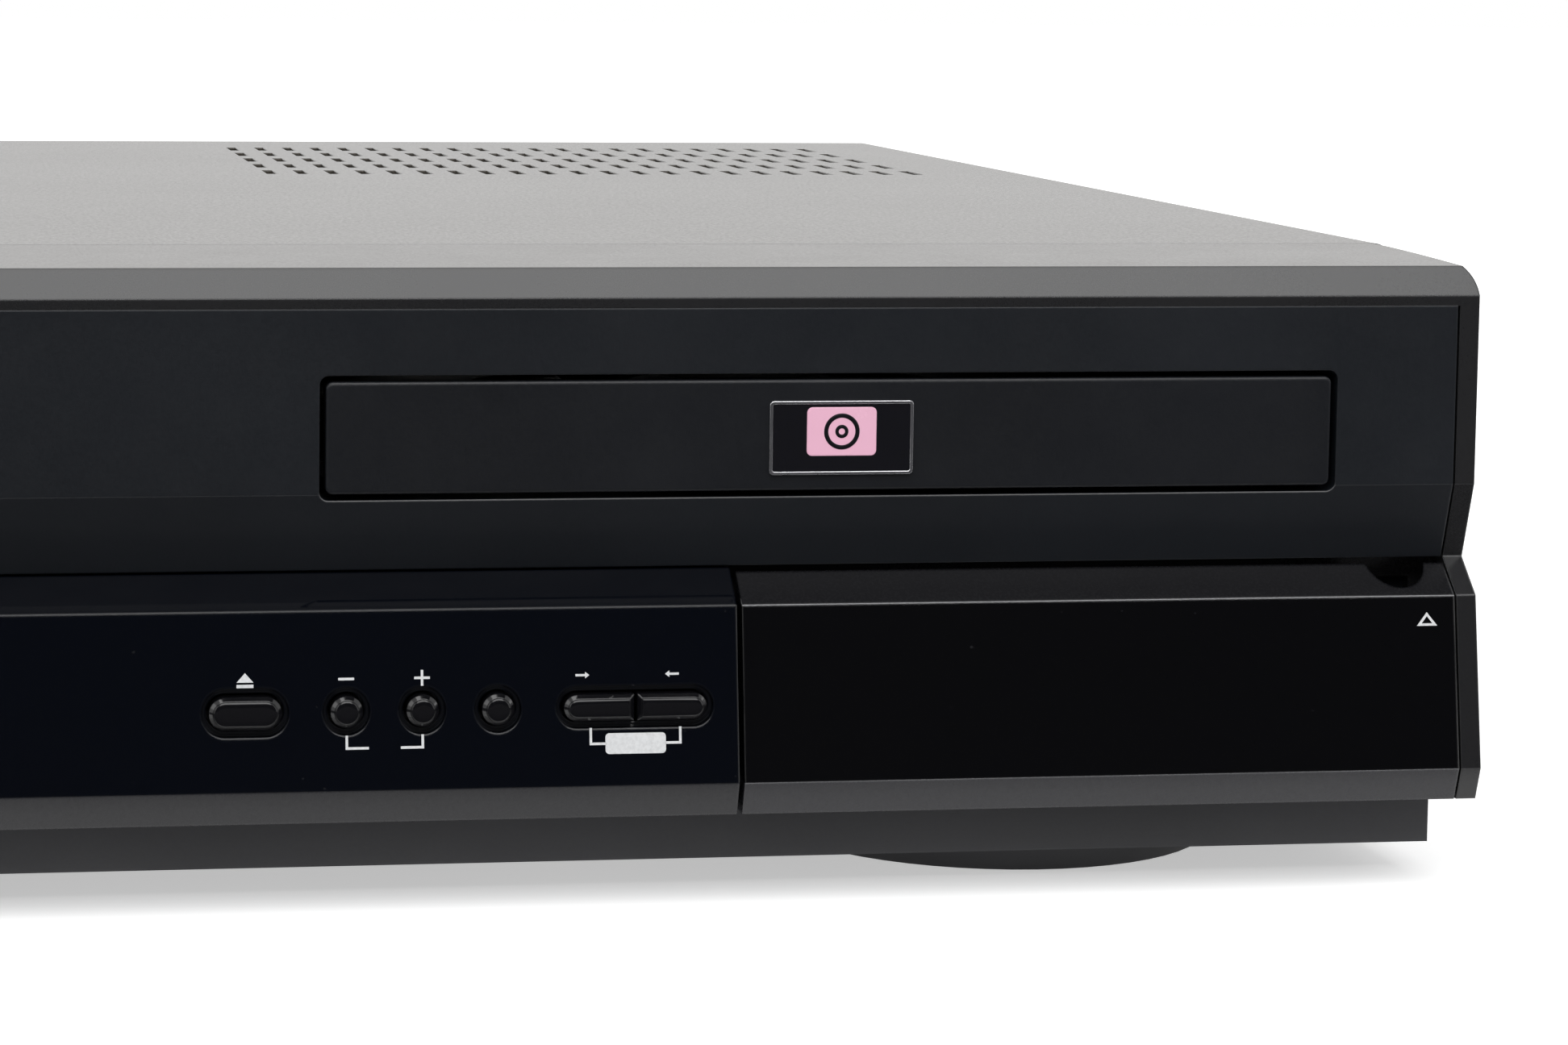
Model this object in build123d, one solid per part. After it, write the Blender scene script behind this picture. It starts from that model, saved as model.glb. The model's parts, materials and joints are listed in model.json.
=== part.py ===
from build123d import *
import math
import os

# A combined disc recorder and cassette recorder for a hi-fi rack.
# Millimetres, +X to the right seen from the front, the front faces -Y, +Z up.
# The origin is on the floor, in the middle of the machine's width and depth.

# ---------------------------------------------------------------- driving dimensions
width = 430.0
depth = 346.0

# the front's bands, from the floor up
foot_height = 4.5
skirt_height = 7.7
toe_height = 4.3
gloss_height = 22.1
shelf_rise = 4.3
undercut_height = 10.0
upper_face_height = 23.2
frame_band = 1.3
bevel_height = 3.7
strip_rise = 1.1

# how far the bands stand before or behind the upper face
face_reach = 5.1
edge_reach = 1.6
toe_reach = 3.55
undercut_depth = 3.5
bevel_depth = 2.2
strip_depth = 28.1
skirt_setback = 6.0
fascia_depth = 8.0

# walls
sheet = 0.8
pan_sheet = 1.0
moulding_wall = 2.2
return_wall = 1.6
web_wall = 2.0
cheek_wall = 2.6
strip_wall = 2.0
corner_radius = 4.6
cover_fold_radius = 2.4
board_wall = 1.6

# clearances
panel_gap = 0.3
door_gap = 0.8
button_gap = 0.3
slide_gap = 0.3
shaft_gap = 0.05
turning_gap = 0.4

# feet and screws
foot_radius = 32.0
foot_side_inset = 52.4
foot_front_setback = 44.5
foot_rear_setback = 42.0
foot_rim = 2.5
screw_head_radius = 3.2
screw_head_height = 1.3
screw_shank_radius = 1.4
screw_length = 5.0
rear_screw_inset = 65.0
side_screw_setback = 30.0
cover_flange = 8.5

# vents in the cover
vent_columns = 22
vent_rows = 5
vent_width = 1.8
vent_length = 12.0
vent_pitch_x = 5.52
vent_pitch_y = 21.85
vent_field_inset = 139.4
vent_first_setback = 210.0

# disc tray and its door
tray_side_inset = 84.6
tray_opening_width = 131.6
tray_opening_height = 15.7
opening_corner_radius = 1.2
tray_door_wall = 2.6
tray_width = 128.4
tray_length = 175.0
tray_wall = 4.0
tray_travel = 138.0
tray_drop = 11.0
disc_radius = 60.0
small_disc_radius = 40.0
disc_recess = 2.2
small_disc_recess = 0.8
tray_slot_width = 40.0

# loader mechanism
loader_floor_wall = 2.0
loader_wall = 2.4
loader_floor_drop = 13.0
loader_start = 12.0
loader_rear_reach = 12.0
loader_leg = 9.0
loader_leg_inset = 16.0
tray_ledge = 5.0
tray_lug = 2.6
tray_lug_length = 10.0
ledge_wall = 2.0
tooth_module = 1.0
tooth_backlash = 0.22
drive_teeth = 20
pulley_teeth = 12
sled_gear_teeth = 14
gear_height = 3.0
gear_setback = 23.0
gear_post_radius = 2.0
gear_hub_radius = 4.2
tray_pulley_radius = 11.0
motor_pulley_radius = 4.0
motor_radius = 8.0
motor_spacing = 31.0
motor_setback = 11.0
motor_length = 20.0
motor_shaft_radius = 1.0
turntable_radius = 15.0
disc_hub_radius = 7.4
rod_radius = 1.5
rod_spacing = 54.0
sled_travel = 33.0
sled_length = 28.0
sled_start = 17.0
lens_radius = 5.0
lens_setback = 8.0
traverse_width = 100.0
traverse_front_reach = 24.0
traverse_rear_reach = 86.0
traverse_sheet = 2.0
spindle_motor_radius = 13.0
spindle_motor_height = 3.6
rod_front_setback = 6.0
sled_gear_setback = 50.0
bridge_sheet = 1.5
bridge_half = 17.0
clamper_radius = 14.0
clamper_neck_radius = 9.5

# cassette compartment
deck_side_inset = 131.0
cassette_width = 188.0
cassette_height = 25.0
cassette_depth = 104.0
cassette_door_width = 194.0
cassette_door_height = 29.0
cassette_door_rise = 2.5
cassette_lift = 14.0
door_pin_radius = 1.0
holder_sheet = 1.0
holder_start = 33.0
holder_length = 88.0
holder_ledge = 10.0
holder_pin_radius = 1.5

# tape deck
deck_width = 204.0
deck_start = 16.0
deck_length = 206.0
deck_sheet = 1.2
deck_rise = 14.5
deck_leg = 14.0
reel_spacing = 92.0
reel_setback = 82.0
reel_radius = 19.0
reel_spindle_radius = 4.0
reel_vanes = 3
reel_post_height = 18.0
reel_hub_radius = 11.0
drum_radius = 31.0
drum_half_height = 14.5
drum_setback = 169.0
drum_tilt = 4.5
drum_shaft_radius = 3.0
capstan_offset_x = 58.0
capstan_setback = 150.0
capstan_radius = 1.5
flywheel_radius = 22.0
capstan_height = 34.0
capstan_boss_radius = 4.0
pinch_radius = 6.0
pinch_pivot_x = 22.0
pinch_pivot_y = 14.0
pinch_rest_x = 12.0
pinch_rest_y = 8.0
pinch_post_height = 13.0
pinch_post_radius = 2.0
pinch_swing = 15.0
guide_radius = 2.2
guide_flange_radius = 3.4
guide_height = 30.0
near_guide_x = 42.0
near_guide_setback = 150.0
far_guide_x = 62.0
far_guide_setback = 136.0
exit_guide_x = 31.0
exit_guide_setback = 133.5
control_head_x = 49.5
control_head_setback = 137.5
control_head_width = 9.0
control_head_depth = 7.0
control_head_height = 28.0
loading_motor_length = 30.0
loading_motor_radius = 11.0
worm_length = 14.0

# lower front: control window, keys, flap
flap_width = 94.0
flap_gap = 0.7
flap_pin_radius = 1.0
flap_pin_length = 2.6
flap_axis_setback = 0.5
flap_axis_rise = 2.4
notch_inset = 6.6
notch_radius = 4.0
key_height = 14.0
key_travel = 0.8
key_proud = 0.9
key_flange = 1.0
key_edge = 0.5
dish_margin = 0.9
dish_depth = 0.9
round_key_radius = 2.05
pill_key_width = 9.1
pill_key_height = 4.2
copy_key_width = 8.9
copy_key_height = 3.4
copy_split = 0.4
power_key_radius = 3.6
switch_size = 6.0
switch_height = 3.5
plunger_radius = 1.7
plunger_height = 0.5
display_width = 118.0
display_height = 17.0
display_thickness = 5.0
display_rise = 1.5

# keys, the right group from the flap's edge and the left group from the machine's left end
open_close_inset = 62.9
channel_down_inset = 50.3
channel_up_inset = 40.8
source_inset = 31.3
copy_pair_inset = 13.9
power_inset = 21.0
tape_eject_inset = 39.0
play_inset = 55.0
stop_inset = 68.5
record_inset = 82.0

# sockets behind the flap
compartment_wall = 2.0
socket_height = 13.0
rca_radius = 4.15
rca_bore_radius = 1.6
rca_reach = 8.0
rca_body = 12.0
rca_pitch = 14.0
front_rca_inset = 12.1
svideo_inset = 58.1
svideo_radius = 5.0
svideo_body = 13.0
usb_inset = 83.6
usb_width = 13.6
usb_height = 7.2
dv_inset = 70.1
dv_width = 7.2
dv_height = 5.6

# boards
board_side_gap = 9.0
board_rise = 8.0
boss_radius = 3.5
main_board_width = 172.0
main_board_depth = 116.0
main_board_rear_gap = 8.0
chip_size = 28.0
chip_height = 2.2
capacitor_radius = 4.0
capacitor_height = 11.0
capacitor_pitch = 14.0
power_board_width = 134.0
power_board_depth = 94.0
power_board_rear_gap = 6.0
transformer_width = 36.0
transformer_depth = 32.0
transformer_height = 28.0
mains_capacitor_radius = 11.0
mains_capacitor_height = 32.0
heat_sink_length = 50.0
heat_sink_height = 30.0
heat_sink_wall = 3.0
heat_sink_fins = 6
fin_wall = 1.6
fin_depth = 8.0
rib_length = 80.0
rib_width = 3.0
rib_pitch = 12.0

# rear
jack_reach = 9.7
fan_size = 50.0
fan_thickness = 15.0
fan_rise = 10.0
fan_blades = 7
fan_rim = 2.0
inlet_side_inset = 29.0
inlet_width = 27.0
inlet_height = 20.0
inlet_depth = 18.0
inlet_wall = 3.0
rear_rca_inset = 78.5
rear_rca_pitch = 14.5
scart_inset = 139.0
scart_width = 50.0
scart_height = 15.0
scart_depth = 12.0
scart_spacing = 5.0
tuner_inset = 33.0
tuner_width = 44.0
tuner_depth = 50.0
tuner_height = 24.0
aerial_pitch = 20.0
aerial_radius = 4.6

# ---------------------------------------------------------------- levels and planes
floor_z = foot_height
pan_top = floor_z + pan_sheet
toe_z = floor_z + skirt_height
gloss_z = toe_z + toe_height
edge_z = gloss_z + gloss_height
recess_z = edge_z + shelf_rise
crease_z = recess_z + undercut_height
fascia_top = crease_z + upper_face_height
bevel_z = fascia_top + frame_band
strip_z = bevel_z + bevel_height
top_z = strip_z + strip_rise

face_y = -depth / 2 + face_reach
web_y = face_y + fascia_depth
web_back_y = web_y + web_wall
seam_y = face_y + strip_depth
skirt_y = face_y + skirt_setback
rear_y = depth / 2 - jack_reach
cover_rear_y = rear_y + sheet
panel_y = rear_y - pan_sheet

half_width = width / 2
inner_x = half_width - cheek_wall
panel_x = inner_x - panel_gap
cover_x = inner_x + sheet + panel_gap
pan_x = cover_x - sheet - panel_gap

tray_centre_x = half_width - tray_side_inset
deck_centre_x = -half_width + deck_side_inset
flap_left_x = panel_x - flap_width
flap_right_x = panel_x
open_close_x = flap_left_x - open_close_inset
channel_down_x = flap_left_x - channel_down_inset
channel_up_x = flap_left_x - channel_up_inset
source_x = flap_left_x - source_inset
copy_pair_x = flap_left_x - copy_pair_inset
power_x = -half_width + power_inset
tape_eject_x = -half_width + tape_eject_inset
play_x = -half_width + play_inset
stop_x = -half_width + stop_inset
record_x = -half_width + record_inset


# ---------------------------------------------------------------- shape helpers
def block(x0, x1, y0, y1, z0, z1):
    """A block between two corners."""
    return Pos((x0 + x1) / 2, (y0 + y1) / 2, (z0 + z1) / 2) * Box(x1 - x0, y1 - y0, z1 - z0)


def post(x, y, z0, z1, radius):
    """An upright round bar."""
    return Pos(x, y, (z0 + z1) / 2) * Cylinder(radius, z1 - z0)


def bar_y(x, z, y0, y1, radius):
    """A round bar from front to back."""
    return Pos(x, (y0 + y1) / 2, z) * Rot(90, 0, 0) * Cylinder(radius, y1 - y0)


def bar_x(y, z, x0, x1, radius):
    """A round bar across the machine."""
    return Pos((x0 + x1) / 2, y, z) * Rot(0, 90, 0) * Cylinder(radius, x1 - x0)


def across(outline, x0, x1):
    """A (y, z) outline or face carried across the machine from x0 to x1."""
    face = outline if isinstance(outline, (Face, Sketch)) else make_face(Polyline(*outline, close=True))
    plane = Plane(origin=(x0, 0, 0), x_dir=(0, 1, 0), z_dir=(1, 0, 0))
    return extrude(plane * face, amount=x1 - x0)


def frontal(sketch, x, z, y0, y1):
    """A sketch drawn as seen from the front, carried back from y0 to y1."""
    plane = Plane(origin=(x, y0, z), x_dir=(1, 0, 0), z_dir=(0, -1, 0))
    return extrude(plane * sketch, amount=-(y1 - y0))


def one(shape):
    """The solids of a shape, as one solid or one group."""
    solids = shape.solids()
    return solids[0] if len(solids) == 1 else Compound(children=solids)


# ---------------------------------------------------------------- enclosure
boss_places = []


def board_bosses(x0, x1, y0, y1):
    """Notes the four corner bosses that carry a board."""
    inset = 2 * boss_radius
    for x in (x0 + inset, x1 - inset):
        for y in (y0 + inset, y1 - inset):
            boss_places.append((x, y))


board_z = pan_top + board_rise
board_end_x = half_width - board_side_gap
main_board_x = (board_end_x - main_board_width, board_end_x)
main_board_y = (rear_y - main_board_rear_gap - main_board_depth, rear_y - main_board_rear_gap)
power_board_x = (-board_end_x, -board_end_x + power_board_width)
power_board_y = (rear_y - power_board_rear_gap - power_board_depth, rear_y - power_board_rear_gap)
between_boards_x = (power_board_x[1] + main_board_x[0]) / 2
board_bosses(*main_board_x, *main_board_y)
board_bosses(*power_board_x, *power_board_y)


def base_chassis():
    """The folded steel pan with its front skirt, side flanges, ribs and board bosses."""
    front = skirt_y
    pan = block(-pan_x, pan_x, front, panel_y, floor_z, pan_top)
    pan += block(-pan_x, pan_x, front, front + pan_sheet, floor_z, toe_z)
    for side in (-1, 1):
        flange = block(pan_x - pan_sheet, pan_x, front, panel_y, floor_z, toe_z + toe_height)
        flange -= block(pan_x - 2 * pan_sheet, pan_x + 1, front - 1, web_back_y, toe_z, gloss_z + 1)
        pan += flange if side > 0 else flange.mirror(Plane.YZ)
    for x, y in boss_places:
        pan += post(x, y, pan_top, board_z, boss_radius)
    for place in screw_places()[3:]:
        pan -= screw(*place, screw_shank_radius + shaft_gap, 0)
    rib_x = between_boards_x
    for step in (-1, 0, 1):
        y = (deck_y + deck_length + panel_y) / 2 + step * rib_pitch
        pan += block(rib_x - rib_length / 2, rib_x + rib_length / 2, y - rib_width / 2, y + rib_width / 2,
                     pan_top, pan_top + pan_sheet)
    return pan


def vent_slots():
    """The slots over the hot end of the disc side, one long field of narrow cuts."""
    slots = []
    for row in range(vent_rows):
        y = face_y + vent_first_setback + row * vent_pitch_y
        for column in range(vent_columns):
            x = half_width - vent_field_inset + column * vent_pitch_x
            slots.append(block(x - vent_width / 2, x + vent_width / 2, y - vent_length / 2,
                               y + vent_length / 2, top_z - 2 * sheet, top_z + 1))
    return slots


def screw_places():
    """Where the cover is screwed on: (x, y, z, direction the head faces)."""
    z = top_z - sheet - cover_flange / 2
    rear_x = half_width - rear_screw_inset
    rear = [(x, cover_rear_y, z, "rear") for x in (-rear_x, 0.0, rear_x)]
    side_z = toe_z + toe_height / 2
    y = rear_y - side_screw_setback
    return rear + [(-cover_x, y, side_z, "left"), (cover_x, y, side_z, "right")]


def screw(x, y, z, facing, radius, head):
    """A screw, or with no head the hole that it goes through."""
    if facing == "rear":
        shape = bar_y(x, z, y - screw_length, y, radius)
        return shape + bar_y(x, z, y, y + head, screw_head_radius) if head else shape
    sign = 1 if facing == "right" else -1
    shape = bar_x(y, z, min(x, x - sign * screw_length), max(x, x - sign * screw_length), radius)
    if head:
        shape += bar_x(y, z, min(x, x + sign * head), max(x, x + sign * head), screw_head_radius)
    return shape


def top_cover():
    """The folded sheet cover: top, two sides, a rear flange and a lip under the front strip."""
    outline = Pos(0, (top_z + floor_z + 1.5) / 2) * Rectangle(2 * cover_x, top_z - floor_z - 1.5)
    corners = outline.vertices().group_by(Axis.Y)[-1]
    outline = fillet(corners, cover_fold_radius)
    shell = frontal(outline, 0, 0, seam_y, cover_rear_y)
    inner = Pos(0, (top_z - sheet + floor_z) / 2) * Rectangle(2 * (cover_x - sheet), top_z - sheet - floor_z)
    inner = fillet(inner.vertices().group_by(Axis.Y)[-1], cover_fold_radius - sheet)
    shell -= frontal(inner, 0, 0, seam_y - 1, rear_y)
    shell -= block(-pan_x, pan_x, rear_y - 1, cover_rear_y + 1, 0, top_z - sheet - cover_flange)
    shell -= block(-cover_x - 1, cover_x + 1, rear_y, cover_rear_y + 1, 0, top_z - sheet - cover_flange)
    lip_z = strip_z - strip_wall - panel_gap
    shell += block(-panel_x, panel_x, seam_y, seam_y + sheet, lip_z - sheet, top_z - sheet / 2)
    shell += block(-panel_x, panel_x, seam_y - 7.0, seam_y + sheet, lip_z - sheet, lip_z)
    shell -= vent_slots()
    for place in screw_places():
        shell -= screw(*place, screw_shank_radius + shaft_gap, 0)
    return shell


def rear_panel():
    """The flat rear wall with its socket cut-outs, inlet hole and round fan grille."""
    panel = block(-panel_x, panel_x, panel_y, rear_y, pan_top, top_z - sheet - panel_gap)
    for cut in rear_cutouts():
        panel -= cut
    for place in screw_places()[:3]:
        panel -= screw(*place, screw_shank_radius + shaft_gap, 0)
    return panel


def front_outline():
    """The machine's front profile in (y, z), closed along the seam and the toe."""
    return [
        (seam_y, top_z),
        (face_y + bevel_depth, strip_z),
        (face_y, bevel_z),
        (face_y, crease_z),
        (face_y + undercut_depth, recess_z),
        (face_y - edge_reach, edge_z),
        (face_y - face_reach, gloss_z),
        (face_y - toe_reach, toe_z),
        (seam_y, toe_z),
    ]


compartment_left = flap_left_x + moulding_wall + 0.4
compartment_right = flap_right_x - moulding_wall - 0.4
compartment_bottom = gloss_z + 0.6
compartment_top = recess_z - moulding_wall - 1.0
flap_axis_y = face_y + flap_axis_setback
flap_axis_z = toe_z + flap_axis_rise
lug_radius = 2.1
lug_wall = 2.0
lug_left_x = flap_left_x + moulding_wall + 0.6
lug_right_x = flap_right_x - moulding_wall - 0.6

cassette_door_bottom = recess_z + cassette_door_rise
cassette_door_top = cassette_door_bottom + cassette_door_height
cassette_door_left = deck_centre_x - cassette_door_width / 2
cassette_door_right = deck_centre_x + cassette_door_width / 2
tray_opening_bottom = crease_z - door_gap
tray_opening_top = tray_opening_bottom + tray_opening_height


def hinge_lug(x):
    """One ear that carries a pin of the connector flap."""
    ear = bar_x(flap_axis_y, flap_axis_z, x, x + lug_wall, lug_radius)
    ear += block(x, x + lug_wall, flap_axis_y, web_y + 0.5, flap_axis_z - lug_radius,
                 flap_axis_z + lug_radius)
    return ear - bar_x(flap_axis_y, flap_axis_z, x - 1, x + lug_wall + 1, flap_pin_radius + shaft_gap)


def front_bezel():
    """The front moulding: top strip, cheeks, and the web that carries the panels."""
    body = across(front_outline(), -half_width, half_width)
    top = Pos(0, (top_z + floor_z) / 2) * Rectangle(width, top_z - floor_z)
    top = fillet(top.vertices().group_by(Axis.Y)[-1], corner_radius)
    body &= frontal(top, 0, 0, face_y - face_reach - 1, seam_y + 1)
    body -= block(-inner_x, inner_x, face_y - 20, web_y, toe_z - 1, fascia_top)
    body -= block(-inner_x, inner_x, web_back_y, seam_y + 1, toe_z - 1, strip_z - strip_wall)
    clear = 1.4
    openings = [
        (tray_centre_x - tray_opening_width / 2 - clear, tray_centre_x + tray_opening_width / 2 + clear,
         tray_opening_bottom - clear, tray_opening_top + clear),
        (cassette_door_left - clear, cassette_door_right + clear, cassette_door_bottom - clear, fascia_top),
        (power_x - 10, flap_left_x - 8, gloss_z, recess_z - 4),
        (compartment_left, compartment_right, compartment_bottom, compartment_top),
    ]
    for x0, x1, z0, z1 in openings:
        body -= block(x0, x1, web_y - 1, web_back_y + 1, z0, z1)
    body += hinge_lug(lug_left_x)
    body += hinge_lug(lug_right_x - lug_wall)
    return body


def upper_fascia():
    """The satin panel round the cassette door and the disc tray, with returns on every edge."""
    back = web_y
    outer = [(face_y, fascia_top), (face_y, crease_z), (face_y + undercut_depth, recess_z),
             (back, recess_z), (back, fascia_top)]
    solid = across(outer, -panel_x, panel_x)
    slope = moulding_wall * 1.06
    inner = [(face_y + moulding_wall, fascia_top - return_wall), (face_y + moulding_wall, crease_z + 0.4),
             (face_y + undercut_depth + slope, recess_z + return_wall),
             (back + 1, recess_z + return_wall), (back + 1, fascia_top - return_wall)]
    panel = solid - across(inner, -panel_x + return_wall, panel_x - return_wall)
    gap = slide_gap + 0.2
    holes = [
        (tray_centre_x, tray_opening_width, tray_opening_bottom, tray_opening_top, opening_corner_radius),
        (deck_centre_x, cassette_door_width + 2 * gap, cassette_door_bottom - gap,
         cassette_door_top + gap, 0.8),
    ]
    for x, w, z0, z1, radius in holes:
        middle = (z0 + z1) / 2
        tunnel = RectangleRounded(w + 2 * return_wall, z1 - z0 + 2 * return_wall, radius + 0.8)
        panel += frontal(tunnel, x, middle, face_y, back) & solid
        panel -= frontal(RectangleRounded(w, z1 - z0, radius), x, middle, face_y - 1, back + 1)
    for side in (-1, 1):
        x = deck_centre_x + side * (cassette_door_width / 2 + gap + return_wall / 2)
        panel -= bar_x(door_axis_y, door_axis_z, x - return_wall, x + return_wall,
                       door_pin_radius + shaft_gap)
    return panel


def lower_outline(back):
    """The lower front's profile in (y, z), from the recess down to the toe and back to a plane."""
    ceiling = recess_z - panel_gap
    return [(back, ceiling), (face_y + undercut_depth - 0.2, ceiling), (face_y - edge_reach, edge_z),
            (face_y - face_reach, gloss_z), (face_y - toe_reach, toe_z), (back, toe_z)]


def lower_shell(x0, x1, back, end_wall):
    """A moulded C-section that follows the lower front, open behind, with closed ends."""
    face = make_face(Polyline(*lower_outline(back), close=True))
    shell = across(face, x0, x1)
    hollow = offset(face, amount=-moulding_wall, kind=Kind.INTERSECTION)
    inside = across(hollow, x0 + end_wall, x1 - end_wall)
    inside += block(x0 + end_wall, x1 - end_wall, back - 2 * moulding_wall, back + 1,
                    toe_z + moulding_wall, recess_z - panel_gap - moulding_wall)
    return shell - inside


# ---------------------------------------------------------------- keys
key_z = toe_z + key_height
face_slope = (face_reach - edge_reach) / gloss_height
key_face_y = face_y - face_reach + face_slope * (key_z - gloss_z)
key_back_y = key_face_y + moulding_wall + 0.95
board_face_y = web_y - board_wall


def round_key(radius):
    return Circle(radius)


def pill(w, h):
    return SlotOverall(w, h)


def half_pill(w, h, side):
    """One key of a split pair; side is -1 for the left half."""
    whole = SlotOverall(2 * w + copy_split, h)
    cut = Pos(-side * (w + copy_split), 0) * Rectangle(2 * w + 3 * copy_split, 2 * h)
    return whole - cut


keys = {
    "open_close_button": (open_close_x, pill(pill_key_width, pill_key_height), 0),
    "channel_down_button": (channel_down_x, round_key(round_key_radius), 0),
    "channel_up_button": (channel_up_x, round_key(round_key_radius), 0),
    "source_button": (source_x, round_key(round_key_radius), 0),
    "copy_to_disc_button": (copy_pair_x, half_pill(copy_key_width, copy_key_height, -1), -copy_key_width / 2),
    "copy_to_tape_button": (copy_pair_x, half_pill(copy_key_width, copy_key_height, 1), copy_key_width / 2),
    "power_button": (power_x, round_key(power_key_radius), 0),
    "tape_eject_button": (tape_eject_x, pill(pill_key_width, pill_key_height), 0),
    "play_button": (play_x, round_key(round_key_radius), 0),
    "stop_button": (stop_x, round_key(round_key_radius), 0),
    "record_button": (record_x, round_key(round_key_radius), 0),
}
key_holes = [
    (open_close_x, pill, pill_key_width, pill_key_height),
    (channel_down_x, round_key, round_key_radius, None),
    (channel_up_x, round_key, round_key_radius, None),
    (source_x, round_key, round_key_radius, None),
    (copy_pair_x, pill, 2 * copy_key_width + copy_split, copy_key_height),
    (power_x, round_key, power_key_radius, None),
    (tape_eject_x, pill, pill_key_width, pill_key_height),
    (play_x, round_key, round_key_radius, None),
    (stop_x, round_key, round_key_radius, None),
    (record_x, round_key, round_key_radius, None),
]


def grown(kind, a, b, margin):
    """A key's outline with a margin all round."""
    return kind(a + margin) if b is None else kind(a + 2 * margin, b + 2 * margin)


def button(x, outline, stem_shift):
    """A moulded key: domed cap, retaining flange behind the window, and stem."""
    cap = frontal(outline, x, key_z, key_face_y - key_proud, key_back_y + 0.2)
    cap = chamfer(cap.faces().sort_by(Axis.Y)[0].edges(), key_edge)
    flange = offset(outline, amount=key_flange)
    if stem_shift:
        side = 1 if stem_shift > 0 else -1
        half = Rectangle(3 * copy_key_width, 4 * copy_key_height)
        flange &= Pos(side * (1.5 * copy_key_width + copy_split / 2), 0) * half
    body = cap + frontal(flange, x, key_z, key_back_y, key_back_y + 1.1)
    stem_end = board_face_y - switch_height - plunger_height - key_travel - panel_gap
    return body + bar_y(x + stem_shift, key_z, key_back_y, stem_end, 1.3)


def control_window():
    """The glossy lens of the lower front, with a dished seat round each key."""
    lens = lower_shell(-panel_x, flap_left_x - flap_gap, web_y, moulding_wall)
    for x, kind, a, b in key_holes:
        hole = grown(kind, a, b, button_gap)
        dish = grown(kind, a, b, dish_margin)
        lens -= frontal(hole, x, key_z, key_face_y - 5, key_back_y + 2)
        lens -= frontal(dish, x, key_z, key_face_y - 5, key_face_y + dish_depth)
    return lens


def key_board():
    """The circuit board behind the window, with one press switch for each key."""
    board = block(-panel_x + 5, flap_left_x - flap_gap - 5, board_face_y, web_y,
                  toe_z + moulding_wall + 0.5, recess_z - moulding_wall - 1.0)
    for x, outline, shift in keys.values():
        centre = x + shift
        half = switch_size / 2 if not shift else 2.8
        front = board_face_y - switch_height
        board += block(centre - half, centre + half, front, board_face_y, key_z - half, key_z + half)
        board += bar_y(centre, key_z, front - plunger_height, front, plunger_radius)
    return board


def display_module():
    """The glass display block behind the dark window."""
    x = (record_x + open_close_x) / 2
    z = key_z + display_rise
    return block(x - display_width / 2, x + display_width / 2, board_face_y - display_thickness, board_face_y,
                 z - display_height / 2, z + display_height / 2)


# ---------------------------------------------------------------- connector flap
def connector_flap():
    """The drop-down cover of the front sockets, hinged on two pins at its toe."""
    x0, x1 = flap_left_x, flap_right_x
    flap = lower_shell(x0, x1, web_y, moulding_wall)
    flap -= block(x0 - 1, x1 + 1, face_y + 2.8, web_y + 1, toe_z - 1, recess_z)
    flap -= block(x0 + moulding_wall, x1 - moulding_wall, face_y - toe_reach + return_wall,
                  web_y, toe_z - 1, toe_z + moulding_wall + 0.2)
    flap -= post(x1 - notch_inset, face_y + undercut_depth, edge_z, recess_z + 1, notch_radius)
    flap += bar_x(flap_axis_y, flap_axis_z, x0 + moulding_wall, x0 + moulding_wall + flap_pin_length,
                  flap_pin_radius)
    flap += bar_x(flap_axis_y, flap_axis_z, x1 - moulding_wall - flap_pin_length, x1 - moulding_wall,
                  flap_pin_radius)
    return flap


socket_z = gloss_z + socket_height
plate_y = web_back_y + compartment_wall
front_rca_x = [panel_x - front_rca_inset - step * rca_pitch for step in range(3)]
svideo_x = panel_x - svideo_inset
usb_x = panel_x - usb_inset
dv_x = panel_x - dv_inset


def mouth(x, w, h, y0, y1):
    """A flat socket's body or opening, w wide and h high, at the sockets' height."""
    return block(x - w / 2, x + w / 2, y0, y1, socket_z - h / 2, socket_z + h / 2)


def jack_plate():
    """The recessed plate that the front sockets come through."""
    plate = block(compartment_left - 1.2, compartment_right + 1.2, web_back_y, plate_y,
                  toe_z + 1.0, recess_z - 1.0)
    for x in front_rca_x:
        plate -= bar_y(x, socket_z, web_back_y - 1, plate_y + 1, rca_radius + 0.1)
    plate -= bar_y(svideo_x, socket_z, web_back_y - 1, plate_y + 1, svideo_radius + 0.1)
    plate -= mouth(usb_x, usb_width + 0.2, usb_height + 0.2, web_back_y - 1, plate_y + 1)
    plate -= mouth(dv_x, dv_width + 0.2, dv_height + 0.2, web_back_y - 1, plate_y + 1)
    return plate


def rca_jack(x, z, y_face, facing):
    """A round phono socket: barrel, bore and square body. facing is -1 for the front."""
    if facing < 0:
        jack = bar_y(x, z, y_face - rca_reach + compartment_wall, y_face + 1, rca_radius)
        jack += block(x - rca_body / 2, x + rca_body / 2, y_face, y_face + rca_body,
                      z - rca_body / 2, z + rca_body / 2)
        return jack - bar_y(x, z, y_face - rca_reach - 1, y_face + rca_body - 3, rca_bore_radius)
    jack = bar_y(x, z, y_face - 1, y_face + jack_reach, rca_radius)
    jack += block(x - rca_body / 2, x + rca_body / 2, y_face - pan_sheet - rca_body, y_face - pan_sheet,
                  z - rca_body / 2, z + rca_body / 2)
    jack += bar_y(x, z, y_face - pan_sheet - 1, y_face, rca_radius)
    return jack - bar_y(x, z, y_face - rca_body + 3, y_face + jack_reach + 1, rca_bore_radius)


def front_rca_jacks():
    return Compound(children=[one(rca_jack(x, socket_z, plate_y, -1)) for x in front_rca_x])


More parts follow.
